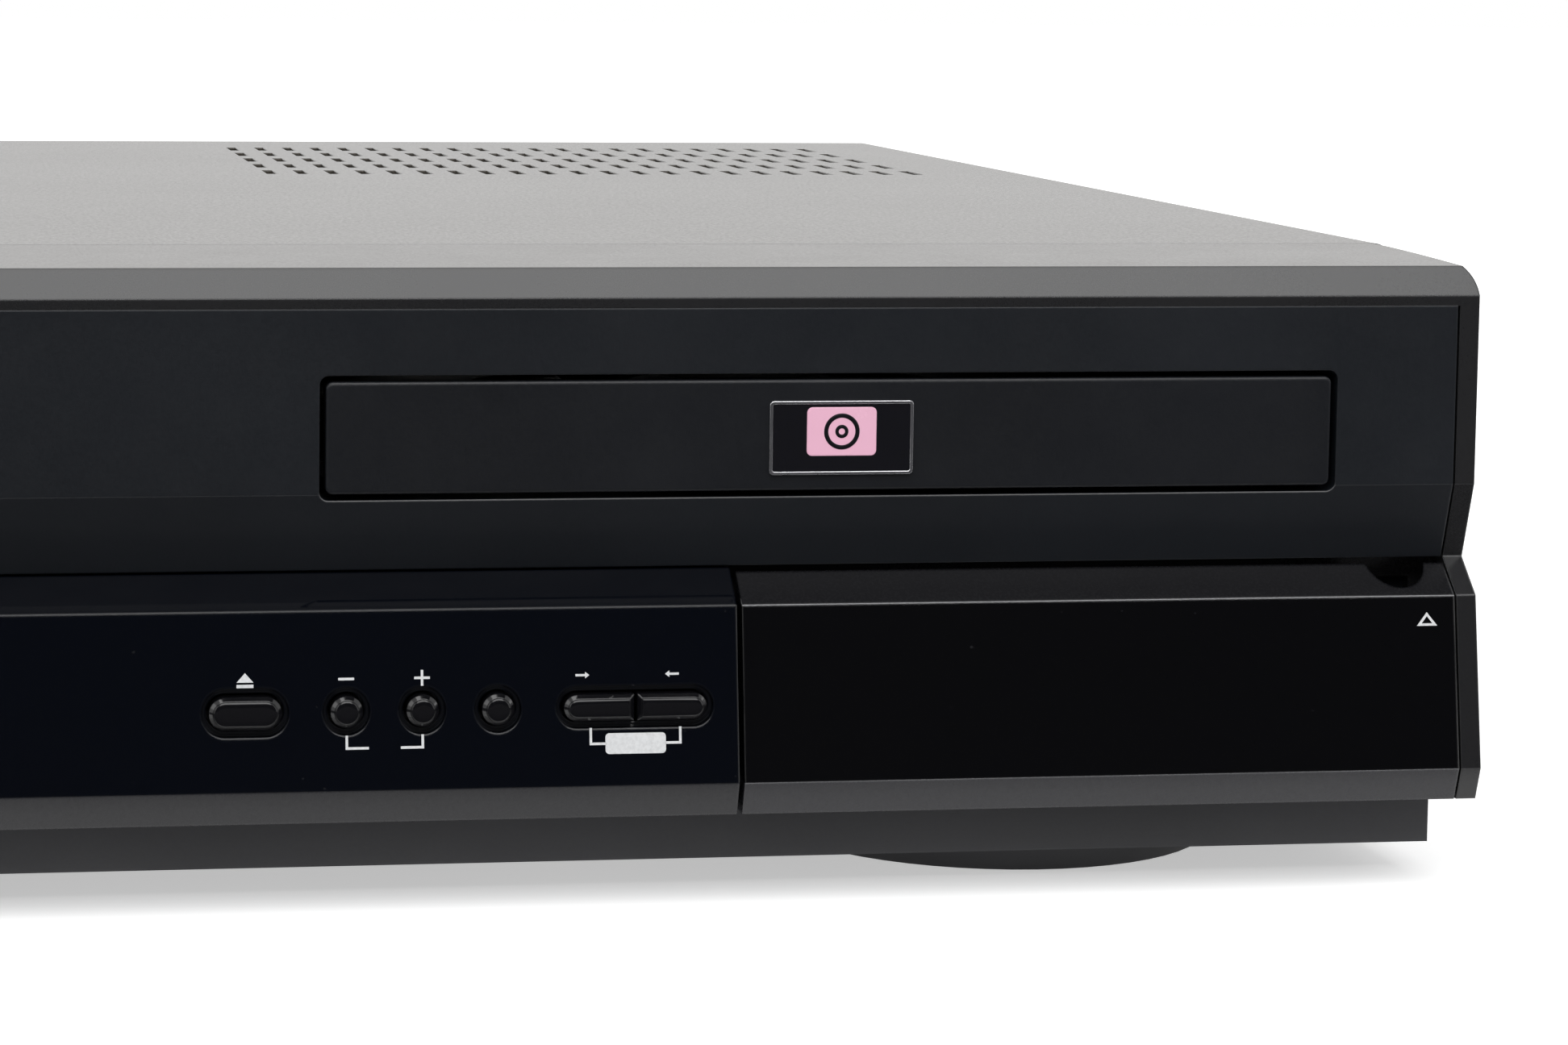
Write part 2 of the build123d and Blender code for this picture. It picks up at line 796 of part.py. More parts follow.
def front_svideo_socket():
    """A round four-pin socket with its guide slot."""
    socket = bar_y(svideo_x, socket_z, web_back_y, plate_y + 1, svideo_radius)
    socket += mouth(svideo_x, svideo_body, svideo_body, plate_y, plate_y + 11)
    for dx, dz in ((-2.0, 1.4), (2.0, 1.4), (-1.3, -1.6), (1.3, -1.6)):
        socket -= bar_y(svideo_x + dx, socket_z + dz, web_back_y - 1, web_back_y + 4, 0.6)
    socket -= block(svideo_x - 1.3, svideo_x + 1.3, web_back_y - 1, web_back_y + 4,
                    socket_z - 4.2, socket_z - 3.0)
    return socket


def front_usb_socket():
    """A flat serial socket: steel shell with its tongue."""
    shell = mouth(usb_x, usb_width, usb_height, web_back_y, plate_y + 12)
    shell -= mouth(usb_x, usb_width - 1.2, usb_height - 2, web_back_y - 1, plate_y + 9)
    tongue_z = socket_z + usb_height / 2 - 1.4
    tongue = block(usb_x - usb_width / 2 + 1.2, usb_x + usb_width / 2 - 1.2, web_back_y + 1, plate_y + 9.5,
                   tongue_z, tongue_z + 0.8)
    return shell + tongue


def front_dv_socket():
    """A small camera socket with a stepped mouth."""
    socket = mouth(dv_x, dv_width, dv_height, web_back_y, plate_y + 9)
    return socket - mouth(dv_x, dv_width - 1.8, dv_height - 2, web_back_y - 1, plate_y + 5)


# ---------------------------------------------------------------- cassette door and holder
door_axis_y = face_y + moulding_wall + 0.2
door_axis_z = cassette_door_top - 1.5


def cassette_door():
    """The sprung door of the cassette slot. It follows the fascia's crease and swings inwards."""
    wall = moulding_wall
    fall = undercut_depth * (crease_z - cassette_door_bottom) / undercut_height
    outline = [(face_y, cassette_door_top), (face_y, crease_z), (face_y + fall, cassette_door_bottom),
               (face_y + fall + wall, cassette_door_bottom), (face_y + wall, crease_z + 0.4),
               (face_y + wall, cassette_door_top)]
    door = across(outline, cassette_door_left, cassette_door_right)
    ear = 3.0
    for side in (-1, 1):
        edge = deck_centre_x + side * cassette_door_width / 2
        inside = edge - side * ear
        door += bar_x(door_axis_y, door_axis_z, min(edge, inside), max(edge, inside), 1.5)
        out = edge + side * (slide_gap + 0.2 + 1.2)
        door += bar_x(door_axis_y, door_axis_z, min(edge, out), max(edge, out), door_pin_radius)
    return door


cassette_z = cassette_door_bottom - 0.1
holder_floor = cassette_z - holder_sheet
holder_outer = cassette_width / 2 + 0.6 + holder_sheet
holder_y = face_y + holder_start
holder_roof = cassette_z + cassette_height + 0.6
holder_pin_y = (holder_y + 14.0, holder_y + holder_length - 14.0)
holder_pin_z = cassette_z + cassette_height / 2
bracket_inner = holder_outer + 1.0


def cassette_holder():
    """The lift: two angle rails joined by a cut-out roof, riding on four side pins."""
    y0, y1 = holder_y, holder_y + holder_length
    holder = None
    for side in (-1, 1):
        outer = deck_centre_x + side * holder_outer
        inner = outer - side * holder_sheet
        toe = outer - side * holder_ledge
        rail = block(min(outer, inner), max(outer, inner), y0, y1, holder_floor, holder_roof + holder_sheet)
        rail += block(min(outer, toe), max(outer, toe), y0, y1, holder_floor, holder_floor + holder_sheet)
        for y in holder_pin_y:
            tip = outer + side * (1.0 + deck_sheet + 0.6)
            rail += bar_x(y, holder_pin_z, min(outer, tip), max(outer, tip), holder_pin_radius)
        holder = rail if holder is None else holder + rail
    left, right = deck_centre_x - holder_outer, deck_centre_x + holder_outer
    roof = block(left, right, y0, y1, holder_roof, holder_roof + holder_sheet)
    for x0, x1 in ((left + 18, deck_centre_x - 12), (deck_centre_x + 12, right - 18)):
        roof -= block(x0, x1, y0 + 14, y1 - 14, holder_roof - 1, holder_roof + 2)
    return holder + roof


# ---------------------------------------------------------------- tape deck
deck_y = face_y + deck_start
deck_z = pan_top + deck_rise
deck_top = deck_z + deck_sheet
reel_y = face_y + reel_setback
drum_y = face_y + drum_setback
capstan_x = deck_centre_x + capstan_offset_x
capstan_y = face_y + capstan_setback
pinch_pivot = (capstan_x + pinch_pivot_x, capstan_y + pinch_pivot_y)
pinch_rest = (capstan_x + pinch_rest_x, capstan_y - pinch_rest_y)
post_radius = 1.5


def deck_plate():
    """The folded steel deck: legs, side brackets with lift slots, reel posts and bearings."""
    x0, x1 = deck_centre_x - deck_width / 2, deck_centre_x + deck_width / 2
    deck = block(x0, x1, deck_y, deck_y + deck_length, deck_z, deck_top)
    for x in (x0, x1 - deck_sheet):
        for y in (deck_y, deck_y + deck_length - deck_leg):
            deck += block(x, x + deck_sheet, y, y + deck_leg, pan_top, deck_top)
    for side in (-1, 1):
        inner = deck_centre_x + side * bracket_inner
        outer = inner + side * deck_sheet
        wall = block(min(inner, outer), max(inner, outer), holder_y + 1, holder_y + holder_length + 4,
                     deck_z, holder_roof + 3)
        for y in holder_pin_y:
            reach = holder_pin_radius + 0.1
            wall -= block(min(inner, outer) - 1, max(inner, outer) + 1, y - reach, y + reach,
                          holder_pin_z - cassette_lift - reach - 0.2, holder_pin_z + reach + 0.2)
        deck += wall
    for side in (-1, 1):
        x = deck_centre_x + side * reel_spacing / 2
        deck += post(x, reel_y, deck_top - 0.1, deck_top + reel_post_height, post_radius)
    deck += post(capstan_x, capstan_y, deck_top - 0.1, deck_top + 5.8, capstan_boss_radius)
    deck -= post(capstan_x, capstan_y, deck_z - 1, deck_top + 7, capstan_radius + shaft_gap)
    deck += post(*pinch_pivot, deck_top - 0.1, deck_top + pinch_post_height, pinch_post_radius)
    return deck


def drum_frame(z):
    """Where the leaning head drum's axis passes a height above its seat."""
    return Pos(deck_centre_x, drum_y, deck_top + 4.0) * Rot(0, drum_tilt, 0) * Pos(0, 0, z)


def lower_drum():
    """The fixed half of the head drum on its foot, bored for the drum shaft."""
    drum = drum_frame(0.8 + drum_half_height / 2) * Cylinder(drum_radius, drum_half_height)
    drum += post(deck_centre_x, drum_y, deck_top, deck_top + 6.0, 22.0)
    drum -= drum_frame(drum_half_height) * Cylinder(drum_shaft_radius + shaft_gap, 2 * drum_half_height - 3)
    groove = drum_frame(0.8 + drum_half_height * 0.6) * (
        Cylinder(drum_radius + 1, 0.8) - Cylinder(drum_radius - 0.5, 0.8))
    return drum - groove


def upper_drum():
    """The spinning half of the head drum with its shaft and rotor disc."""
    seat = 0.8 + drum_half_height + turning_gap
    drum = drum_frame(seat + drum_half_height / 2) * Cylinder(drum_radius, drum_half_height)
    drum += drum_frame(seat + drum_half_height + 1.4) * Cylinder(drum_radius * 0.72, 3.0)
    drum += drum_frame(seat - 4.9) * Cylinder(drum_shaft_radius, 10.2)
    return drum


def capstan():
    """The capstan shaft with its flywheel under the deck."""
    wheel_top = deck_z - 2.0
    wheel = post(capstan_x, capstan_y, wheel_top - 7.5, wheel_top, flywheel_radius)
    wheel -= post(capstan_x, capstan_y, wheel_top - 2.5, wheel_top + 1, flywheel_radius - 5) - post(
        capstan_x, capstan_y, wheel_top - 3, wheel_top + 1, 5.0)
    return wheel + post(capstan_x, capstan_y, wheel_top - 5, deck_top + capstan_height, capstan_radius)


def reel_table(side):
    """A reel table: geared disc, hub and three-vaned spindle on a deck post."""
    x = deck_centre_x + side * reel_spacing / 2
    base = deck_top + turning_gap
    table = post(x, reel_y, base, base + 4.0, reel_radius)
    table += post(x, reel_y, base, base + 7.0, reel_hub_radius)
    table += post(x, reel_y, base, base + reel_post_height + 1.5, reel_spindle_radius)
    for vane in range(reel_vanes):
        angle = 360.0 / reel_vanes * vane
        fin = Pos(0, 5.0, base + 13.0) * Box(1.2, 3.4, 10.0)
        table += Pos(x, reel_y, 0) * Rot(0, 0, angle) * fin
    return table - post(x, reel_y, base - 1, base + reel_post_height + 0.2, post_radius + shaft_gap)


def pinch_arm():
    """The arm that swings the pinch roller to the capstan."""
    px, py = pinch_pivot
    rx, ry = pinch_rest
    z0, z1 = deck_top + 7.3, deck_top + 9.3
    length = math.hypot(px - rx, py - ry)
    angle = math.degrees(math.atan2(ry - py, rx - px))
    link = Pos(px, py, (z0 + z1) / 2) * Rot(0, 0, angle) * Pos(length / 2, 0, 0) * Box(length, 6.0, z1 - z0)
    arm = link + post(px, py, deck_top + 0.4, z1 + 2.0, 3.6) + post(rx, ry, z0, z1, 3.6)
    arm += post(rx, ry, z0, z1 + 22, post_radius)
    return arm - post(px, py, deck_top - 1, z1 + 8, pinch_post_radius + shaft_gap)


def pinch_roller():
    """The rubber roller on the arm's pin."""
    rx, ry = pinch_rest
    z0 = deck_top + 9.3 + turning_gap
    return post(rx, ry, z0, z0 + 19, pinch_radius) - post(rx, ry, z0 - 1, z0 + 20, post_radius + shaft_gap)


def tape_guides():
    """Four flanged guide posts and the control head beside the drum."""
    places = [(-near_guide_x, near_guide_setback), (near_guide_x, near_guide_setback),
              (-far_guide_x, far_guide_setback), (exit_guide_x, exit_guide_setback)]
    guides = []
    for offset_x, setback in places:
        x, y = deck_centre_x + offset_x, face_y + setback
        guide = post(x, y, deck_top, deck_top + guide_height, guide_radius)
        for share in (0.33, 0.87):
            z = deck_top + share * guide_height
            guide += post(x, y, z, z + 0.05 * guide_height, guide_flange_radius)
        guides.append(one(guide))
    x, y = deck_centre_x + control_head_x, face_y + control_head_setback
    head = block(x - control_head_width / 2, x + control_head_width / 2, y - control_head_depth / 2,
                 y + control_head_depth / 2, deck_top, deck_top + control_head_height)
    return Compound(children=guides + [one(head)])


def loading_motor():
    """The small motor that threads the tape, lying on its cradle with a worm."""
    radius = loading_motor_radius
    y = deck_y + deck_length - 1.6 * radius
    x0 = deck_centre_x - deck_width / 2 + 8
    x1 = x0 + loading_motor_length
    z = deck_top + radius + 2
    motor = bar_x(y, z, x0, x1, radius)
    motor += block(x0 + 3, x1 - 3, y - 0.8 * radius, y + 0.8 * radius, deck_top, z)
    motor += bar_x(y, z, x1, x1 + worm_length, 1.5)
    motor += bar_x(y, z, x1 + 3, x1 + worm_length - 1, 3.5)
    return motor


# ---------------------------------------------------------------- disc loader
tray_z = tray_opening_bottom + 3.9
tray_top = tray_z + tray_wall
loader_floor = tray_z - loader_floor_drop
loader_y = face_y + loader_start
loader_end = face_y + tray_door_wall + tray_length + loader_rear_reach
wall_inner = tray_width / 2 + 0.6
wall_outer = wall_inner + loader_wall
wall_top = tray_top + 6.5
disc_y = face_y + tray_door_wall + disc_radius + 6.5
gear_y = face_y + gear_setback
gear_z = tray_z - gear_height - 0.4
drive_pitch = tooth_module * drive_teeth / 2
pulley_pitch = tooth_module * pulley_teeth / 2
sled_gear_pitch = tooth_module * sled_gear_teeth / 2
rack_line_x = tray_centre_x - tray_width / 2 + 10.2
drive_x = rack_line_x + drive_pitch
pulley_x = drive_x + drive_pitch + pulley_pitch
tray_motor_x = pulley_x + motor_spacing
tray_motor_y = gear_y + motor_setback
addendum = 0.85 * tooth_module
dedendum = 1.1 * tooth_module
pressure = math.tan(math.radians(20))


def tooth_widths():
    """Half widths of a tooth at its root and tip."""
    middle = (math.pi * tooth_module / 2 - tooth_backlash) / 2
    return middle + dedendum * pressure, middle - addendum * pressure


def gear_outline(teeth, first_angle):
    """A straight-flanked gear with one tooth centred on first_angle, in degrees."""
    pitch = tooth_module * teeth / 2
    root, tip = pitch - dedendum, pitch + addendum
    root_half, tip_half = tooth_widths()
    points = []
    for tooth in range(teeth):
        centre = math.radians(first_angle) + 2 * math.pi * tooth / teeth
        for radius, turn in ((root, -root_half / root), (tip, -tip_half / tip),
                             (tip, tip_half / tip), (root, root_half / root)):
            points.append((radius * math.cos(centre + turn), radius * math.sin(centre + turn)))
    return make_face(Polyline(*points, close=True))


def gear(x, y, z, teeth, first_angle):
    """A spur gear standing at (x, y, z)."""
    return Pos(x, y, z) * extrude(gear_outline(teeth, first_angle), amount=gear_height)


def rack(line_x, first_y, count, z0, z1, back):
    """A rack along Y whose teeth face +X. The pitch line is at line_x."""
    root_half, tip_half = tooth_widths()
    pitch = math.pi * tooth_module
    points = [(line_x - back, first_y - pitch / 2), (line_x - dedendum, first_y - pitch / 2)]
    for tooth in range(count):
        y = first_y + tooth * pitch
        points += [(line_x - dedendum, y - root_half), (line_x + addendum, y - tip_half),
                   (line_x + addendum, y + tip_half), (line_x - dedendum, y + root_half)]
    end = first_y + (count - 0.5) * pitch
    points += [(line_x - dedendum, end), (line_x - back, end)]
    return Pos(0, 0, z0) * extrude(make_face(Polyline(*points, close=True)), amount=z1 - z0)


def loader_chassis():
    """The loader's moulded frame: floor, walls, tray ledges, hold-down lugs, legs and posts."""
    left, right = tray_centre_x - wall_outer, tray_centre_x + wall_outer
    frame = block(left, right, loader_y, loader_end, loader_floor - loader_floor_wall, loader_floor)
    for side in (-1, 1):
        inner = tray_centre_x + side * wall_inner
        outer = tray_centre_x + side * wall_outer
        ledge = inner - side * tray_ledge
        lug = inner - side * tray_lug
        frame += block(min(inner, outer), max(inner, outer), loader_y, loader_end,
                       loader_floor - loader_floor_wall, wall_top)
        frame += block(min(inner, ledge) - 0.1 * (side < 0), max(inner, ledge) + 0.1 * (side > 0),
                       loader_y, loader_end, tray_z - slide_gap - ledge_wall, tray_z - slide_gap)
        for y in (loader_y + 6, disc_y + 10, loader_end - 30):
            frame += block(min(inner, lug) - 0.1 * (side < 0), max(inner, lug) + 0.1 * (side > 0),
                           y, y + tray_lug_length, tray_top + slide_gap, tray_top + slide_gap + ledge_wall)
        for y in (loader_y + loader_leg_inset, loader_end - loader_leg):
            x = tray_centre_x + side * (wall_outer - loader_leg / 2)
            half = loader_leg / 2
            frame += block(x - half, x + half, y, y + loader_leg, pan_top, loader_floor)
    frame += block(left, right, loader_end - loader_wall, loader_end, loader_floor, wall_top)
    window_x = traverse_half - 5.0
    frame -= block(tray_centre_x - window_x, tray_centre_x + window_x, traverse_y0 + 5, traverse_y1 - 5,
                   loader_floor - 5, loader_floor + 1)
    frame += post(drive_x, gear_y, loader_floor - 0.1, tray_z - 0.3, gear_post_radius)
    frame += post(pulley_x, gear_y, loader_floor - 0.1, tray_z - 0.3, gear_post_radius)
    frame -= post(tray_motor_x, tray_motor_y, loader_floor - 5, loader_floor + 1, 2.6)
    return frame


traverse_half = traverse_width / 2
traverse_y0 = disc_y - traverse_front_reach
traverse_y1 = disc_y + traverse_rear_reach
traverse_top = loader_floor + traverse_sheet
rod_z = loader_floor + 6.5
rod_y0 = disc_y + rod_front_setback
rod_y1 = traverse_y1 - 2.0
sled_y0 = disc_y + sled_start
sled_top = tray_z - 3.0
sled_half = rod_spacing / 2 + 4.0
sled_rack_x = tray_centre_x + sled_half + 4.0
sled_gear_x = sled_rack_x + sled_gear_pitch
sled_gear_y = disc_y + sled_gear_setback
sled_gear_z = traverse_top + 2.0


def disc_tray():
    """The sliding tray: two disc recesses, the slot for the turntable and the rack below."""
    y0 = face_y + tray_door_wall
    y1 = y0 + tray_length
    tray = block(tray_centre_x - tray_width / 2, tray_centre_x + tray_width / 2, y0, y1, tray_z, tray_top)
    tray -= post(tray_centre_x, disc_y, tray_top - disc_recess, tray_top + 1, disc_radius + 0.6)
    tray -= post(tray_centre_x, disc_y, tray_top - disc_recess - small_disc_recess, tray_top,
                 small_disc_radius + 0.6)
    half = tray_slot_width / 2
    tray -= post(tray_centre_x, disc_y, tray_z - 1, tray_top + 1, half)
    tray -= block(tray_centre_x - half, tray_centre_x + half, disc_y, y1 + 1, tray_z - 1, tray_top + 1)
    tray -= block(tray_centre_x - half - 16, tray_centre_x + half + 16, disc_y + disc_radius + 14,
                  y1 + 1, tray_z - 1, tray_top + 1)
    pitch = math.pi * tooth_module
    first = gear_y - 2 * pitch
    count = int(tray_travel / pitch) + 5
    tray += rack(rack_line_x, first, count, gear_z, tray_z + 0.1, 4.5)
    return tray


def tray_door():
    """The front of the tray, clipped to its end."""
    w = tray_opening_width - 2 * door_gap
    z0 = tray_opening_bottom + door_gap
    z1 = tray_opening_top - door_gap
    middle = (z0 + z1) / 2
    door = frontal(RectangleRounded(w, z1 - z0, opening_corner_radius - 0.3), tray_centre_x, middle,
                   face_y, face_y + tray_door_wall)
    return fillet(door.faces().sort_by(Axis.Y)[0].edges(), 0.4)


def drive_gear():
    """The gear that drives the tray's rack."""
    shape = gear(drive_x, gear_y, gear_z, drive_teeth, 180 + 180 / drive_teeth)
    shape += post(drive_x, gear_y, loader_floor + turning_gap, gear_z + 1, gear_hub_radius)
    return shape - post(drive_x, gear_y, loader_floor, tray_z, gear_post_radius + shaft_gap)


def pulley_gear():
    """The belt pulley with its pinion, one moulding."""
    shape = gear(pulley_x, gear_y, gear_z, pulley_teeth, 180)
    base = loader_floor + turning_gap
    shape += post(pulley_x, gear_y, base, gear_z + 1, 3.6)
    wheel = post(pulley_x, gear_y, base, base + 4.4, tray_pulley_radius)
    wheel -= post(pulley_x, gear_y, base + 1.5, base + 2.9, tray_pulley_radius + 1) - post(
        pulley_x, gear_y, base, base + 4.4, tray_pulley_radius - 1.4)
    shape += wheel
    return shape - post(pulley_x, gear_y, loader_floor, tray_z, gear_post_radius + shaft_gap)


def tray_motor():
    """The loading motor under the loader floor, with its small pulley above."""
    under = loader_floor - loader_floor_wall
    motor = post(tray_motor_x, tray_motor_y, under - motor_length, under, motor_radius)
    motor += post(tray_motor_x, tray_motor_y, under - 1, loader_floor + 5, motor_shaft_radius)
    return motor + post(tray_motor_x, tray_motor_y, loader_floor + turning_gap, loader_floor + 4.8,
                        motor_pulley_radius)


def traverse_frame():
    """The steel plate that carries the spindle motor, the rods and the sled's gear."""
    plate = block(tray_centre_x - traverse_half, tray_centre_x + traverse_half, traverse_y0, traverse_y1,
                  loader_floor, traverse_top)
    plate -= block(tray_centre_x - 18, tray_centre_x + 18, disc_y + 20, traverse_y1 - 10,
                   loader_floor - 1, traverse_top + 1)
    for side in (-1, 1):
        x = tray_centre_x + side * rod_spacing / 2
        for y in (rod_y0, rod_y1 - 4):
            clip = block(x - 3.2, x + 3.2, y, y + 4, loader_floor + 1, rod_z + 3)
            plate += clip - bar_y(x, rod_z, y - 1, y + 5, rod_radius + 0.02)
    plate += post(tray_centre_x, disc_y, loader_floor + 1, traverse_top + spindle_motor_height,
                  spindle_motor_radius)
    plate -= post(tray_centre_x, disc_y, traverse_top, traverse_top + 5, 1.0 + shaft_gap)
    gear_post_top = sled_gear_z + gear_height + 1
    return plate + post(sled_gear_x, sled_gear_y, loader_floor + 1, gear_post_top, post_radius)


def guide_rods():
    """Two polished rods that the sled slides on."""
    rods = [bar_y(tray_centre_x + side * rod_spacing / 2, rod_z, rod_y0, rod_y1, rod_radius)
            for side in (-1, 1)]
    return Compound(children=[one(rod) for rod in rods])


def turntable():
    """The spindle motor's rotor with the disc seat and centring cone."""
    base = traverse_top + spindle_motor_height + turning_gap
    seat = tray_top - 0.6
    table = post(tray_centre_x, disc_y, base, base + 4.0, spindle_motor_radius + 1)
    table += post(tray_centre_x, disc_y, base + 3.9, seat, 6.0)
    table += post(tray_centre_x, disc_y, seat - 2.0, seat, turntable_radius)
    cone = Pos(tray_centre_x, disc_y, seat + 0.6) * Cone(disc_hub_radius, disc_hub_radius - 1.2, 1.2)
    return table + cone + post(tray_centre_x, disc_y, traverse_top + 0.5, base + 1, 1.0)


def laser_sled():
    """The sled with its lens turret, two rod bearings and the toothed edge."""
    y1 = sled_y0 + sled_length
    sled = block(tray_centre_x - sled_half, tray_centre_x + sled_half, sled_y0, y1, rod_z - 3, sled_top)
    for side in (-1, 1):
        x = tray_centre_x + side * rod_spacing / 2
        sled -= bar_y(x, rod_z, sled_y0 - 1, y1 + 1, rod_radius + shaft_gap)
    lens_y = sled_y0 + lens_setback
    sled += post(tray_centre_x, lens_y, sled_top - 0.1, tray_top - 2.4, lens_radius)
    sled -= post(tray_centre_x, lens_y, tray_top - 3.0, tray_top, 2.2)
    pitch = math.pi * tooth_module
    count = int(sled_travel / pitch) + 5
    first = sled_gear_y - (count - 3) * pitch
    strip = rack(sled_rack_x, first, count, sled_gear_z, sled_gear_z + gear_height, 4.0)
    return sled + strip


def sled_gear():
    """The gear that moves the sled."""
    shape = gear(sled_gear_x, sled_gear_y, sled_gear_z, sled_gear_teeth, 180 + 180 / sled_gear_teeth)
    shape += post(sled_gear_x, sled_gear_y, traverse_top + turning_gap, sled_gear_z + 1, 4.0)
    return shape - post(sled_gear_x, sled_gear_y, traverse_top, sled_gear_z + gear_height + 1,
                        post_radius + shaft_gap)


def clamp_bridge():
    """The steel strap over the tray that holds the clamper."""
    strap = block(tray_centre_x - wall_outer, tray_centre_x + wall_outer, disc_y - bridge_half,
                  disc_y + bridge_half, wall_top, wall_top + bridge_sheet)
    return strap - post(tray_centre_x, disc_y, wall_top - 1, wall_top + bridge_sheet + 1,
                        clamper_neck_radius + 0.5)


def clamper():
    """The clamping disc that hangs in the bridge."""
    roof = wall_top + bridge_sheet + slide_gap
    low = tray_top + 1.2
    disc = post(tray_centre_x, disc_y, low, low + 2.6, clamper_radius)
    disc += post(tray_centre_x, disc_y, low + 2.5, roof + 0.1, clamper_neck_radius)
    disc += post(tray_centre_x, disc_y, roof, roof + 1.6, clamper_neck_radius + 3)
    return disc


# ---------------------------------------------------------------- boards and rear sockets
board_top = board_z + board_wall
rear_rca_x = (half_width - rear_rca_inset - rear_rca_pitch, half_width - rear_rca_inset)
rear_rca_z = (board_top + rca_body / 2, board_top + rca_body * 1.5 + 1, board_top + rca_body * 2.5 + 2)
scart_x = half_width - scart_inset
scart_z = (board_top, board_top + scart_height + scart_spacing)
tuner_centre_x = half_width - tuner_inset
aerial_x = (tuner_centre_x - aerial_pitch / 2, tuner_centre_x + aerial_pitch / 2)
inlet_x = -half_width + inlet_side_inset
inlet_z = board_top + 0.6 * inlet_height
fan_x = between_boards_x
fan_z = pan_top + fan_rise + fan_size / 2


def rear_cutouts():
    """Every hole in the rear panel, each fitted to the piece behind it."""
    y0, y1 = panel_y - 1, rear_y + 1
    cuts = [bar_y(x, z, y0, y1, rca_radius + 0.3) for x in rear_rca_x for z in rear_rca_z]
    for z in scart_z:
        cuts.append(block(scart_x - scart_width / 2 + 1, scart_x + scart_width / 2 - 1, y0, y1,
                          z + 1, z + scart_height - 1))
    cuts += [bar_y(x, board_top + tuner_height / 2, y0, y1, aerial_radius + 0.3) for x in aerial_x]
    wide, high = (inlet_width - inlet_wall) / 2, (inlet_height - inlet_wall) / 2
    cuts.append(block(inlet_x - wide, inlet_x + wide, y0, y1, inlet_z - high, inlet_z + high))
    ring = fan_size / 2 - 4
    for row in range(-3, 4):
        z = row * 6.0
        half = math.sqrt(ring ** 2 - z ** 2)
        cuts.append(frontal(Rectangle(2 * half, 3.2), fan_x, fan_z + z, y0, y1))
    return cuts


def board_part(corner, w, d, h):
    """A flat-sided part on a board, from its front left corner."""
    x, y = corner
    return block(x, x + w, y, y + d, board_top, board_top + h)


def place_on(board_x, board_y, along, back):
    """A point on a board, as shares of its width and depth."""
    return (board_x[0] + along * (board_x[1] - board_x[0]), board_y[0] + back * (board_y[1] - board_y[0]))


def main_board():
    """The main circuit board with its large parts."""
    spans = main_board_x, main_board_y
    board = block(*main_board_x, *main_board_y, board_z, board_top)
    board += board_part(place_on(*spans, 0.35, 0.19), chip_size, chip_size, chip_height)
    board += board_part(place_on(*spans, 0.59, 0.22), 0.8 * chip_size, 0.8 * chip_size, 0.8 * chip_height)
    board += board_part(place_on(*spans, 0.14, 0.16), 0.7 * chip_size, 0.4 * chip_size, 0.7 * chip_height)
    x, y = place_on(*spans, 0.12, 0.53)
    for step in range(3):
        board += post(x + step * capacitor_pitch, y, board_top, board_top + capacitor_height,
                      capacitor_radius)
    return board


def power_board():
    """The supply board: transformer, mains capacitor and finned heat sink."""
    spans = power_board_x, power_board_y
    board = block(*power_board_x, *power_board_y, board_z, board_top)
    board += board_part(place_on(*spans, 0.42, 0.40), transformer_width, transformer_depth,
                        transformer_height)
    board += post(*place_on(*spans, 0.25, 0.32), board_top, board_top + mains_capacitor_height,
                  mains_capacitor_radius)
    x, y = place_on(*spans, 0.46, 0.17)
    board += board_part((x, y), heat_sink_length, heat_sink_wall, heat_sink_height)
    pitch = (heat_sink_length - fin_wall) / (heat_sink_fins - 1)
    for fin in range(heat_sink_fins):
        board += board_part((x + fin * pitch, y), fin_wall, heat_sink_wall + fin_depth, heat_sink_height)
    return board


def tuner():
    """The screened tuner with its two aerial sockets."""
    middle = board_top + tuner_height / 2
    can = block(tuner_centre_x - tuner_width / 2, tuner_centre_x + tuner_width / 2, panel_y - tuner_depth,
                panel_y, board_top, board_top + tuner_height)
    for x in aerial_x:
        can += bar_y(x, middle, panel_y - 1, depth / 2, aerial_radius)
        can -= bar_y(x, middle, rear_y, depth / 2 + 1, aerial_radius - 1.4)
    return can


def rear_rca_jacks():
    return Compound(children=[one(rca_jack(x, z, rear_y, 1)) for x in rear_rca_x for z in rear_rca_z])


def scart_sockets():
    """Two wide sockets stood one over the other on a common foot."""
    x0, x1 = scart_x - scart_width / 2, scart_x + scart_width / 2
    pieces = block(x0, x1, panel_y - scart_depth - 3, panel_y, scart_z[0], scart_z[1] + scart_height)
    for z in scart_z:
        pieces -= block(x0 + 2, x1 - 2, panel_y - scart_depth, rear_y, z + 2, z + scart_height - 2)
    return pieces


def mains_inlet():
    """The mains inlet: a framed well with two flat pins."""
    wall = inlet_wall
    x0, x1 = inlet_x - inlet_width / 2, inlet_x + inlet_width / 2
    z0, z1 = inlet_z - inlet_height / 2, inlet_z + inlet_height / 2
    front = panel_y - inlet_depth
    body = block(x0, x1, front, panel_y, z0, z1)
    body += block(x0 + wall, x1 - wall, front + wall, panel_y - 2 * wall, board_top, z0 + 1)
    body -= block(x0 + wall, x1 - wall, front + wall, panel_y + 1, z0 + wall, z1 - wall)
    for side in (-1, 1):
        x = inlet_x + side * inlet_width / 6
        body += block(x - 1.1, x + 1.1, front + wall - 0.5, panel_y - 4, inlet_z - 2.4, inlet_z + 2.4)
    return body


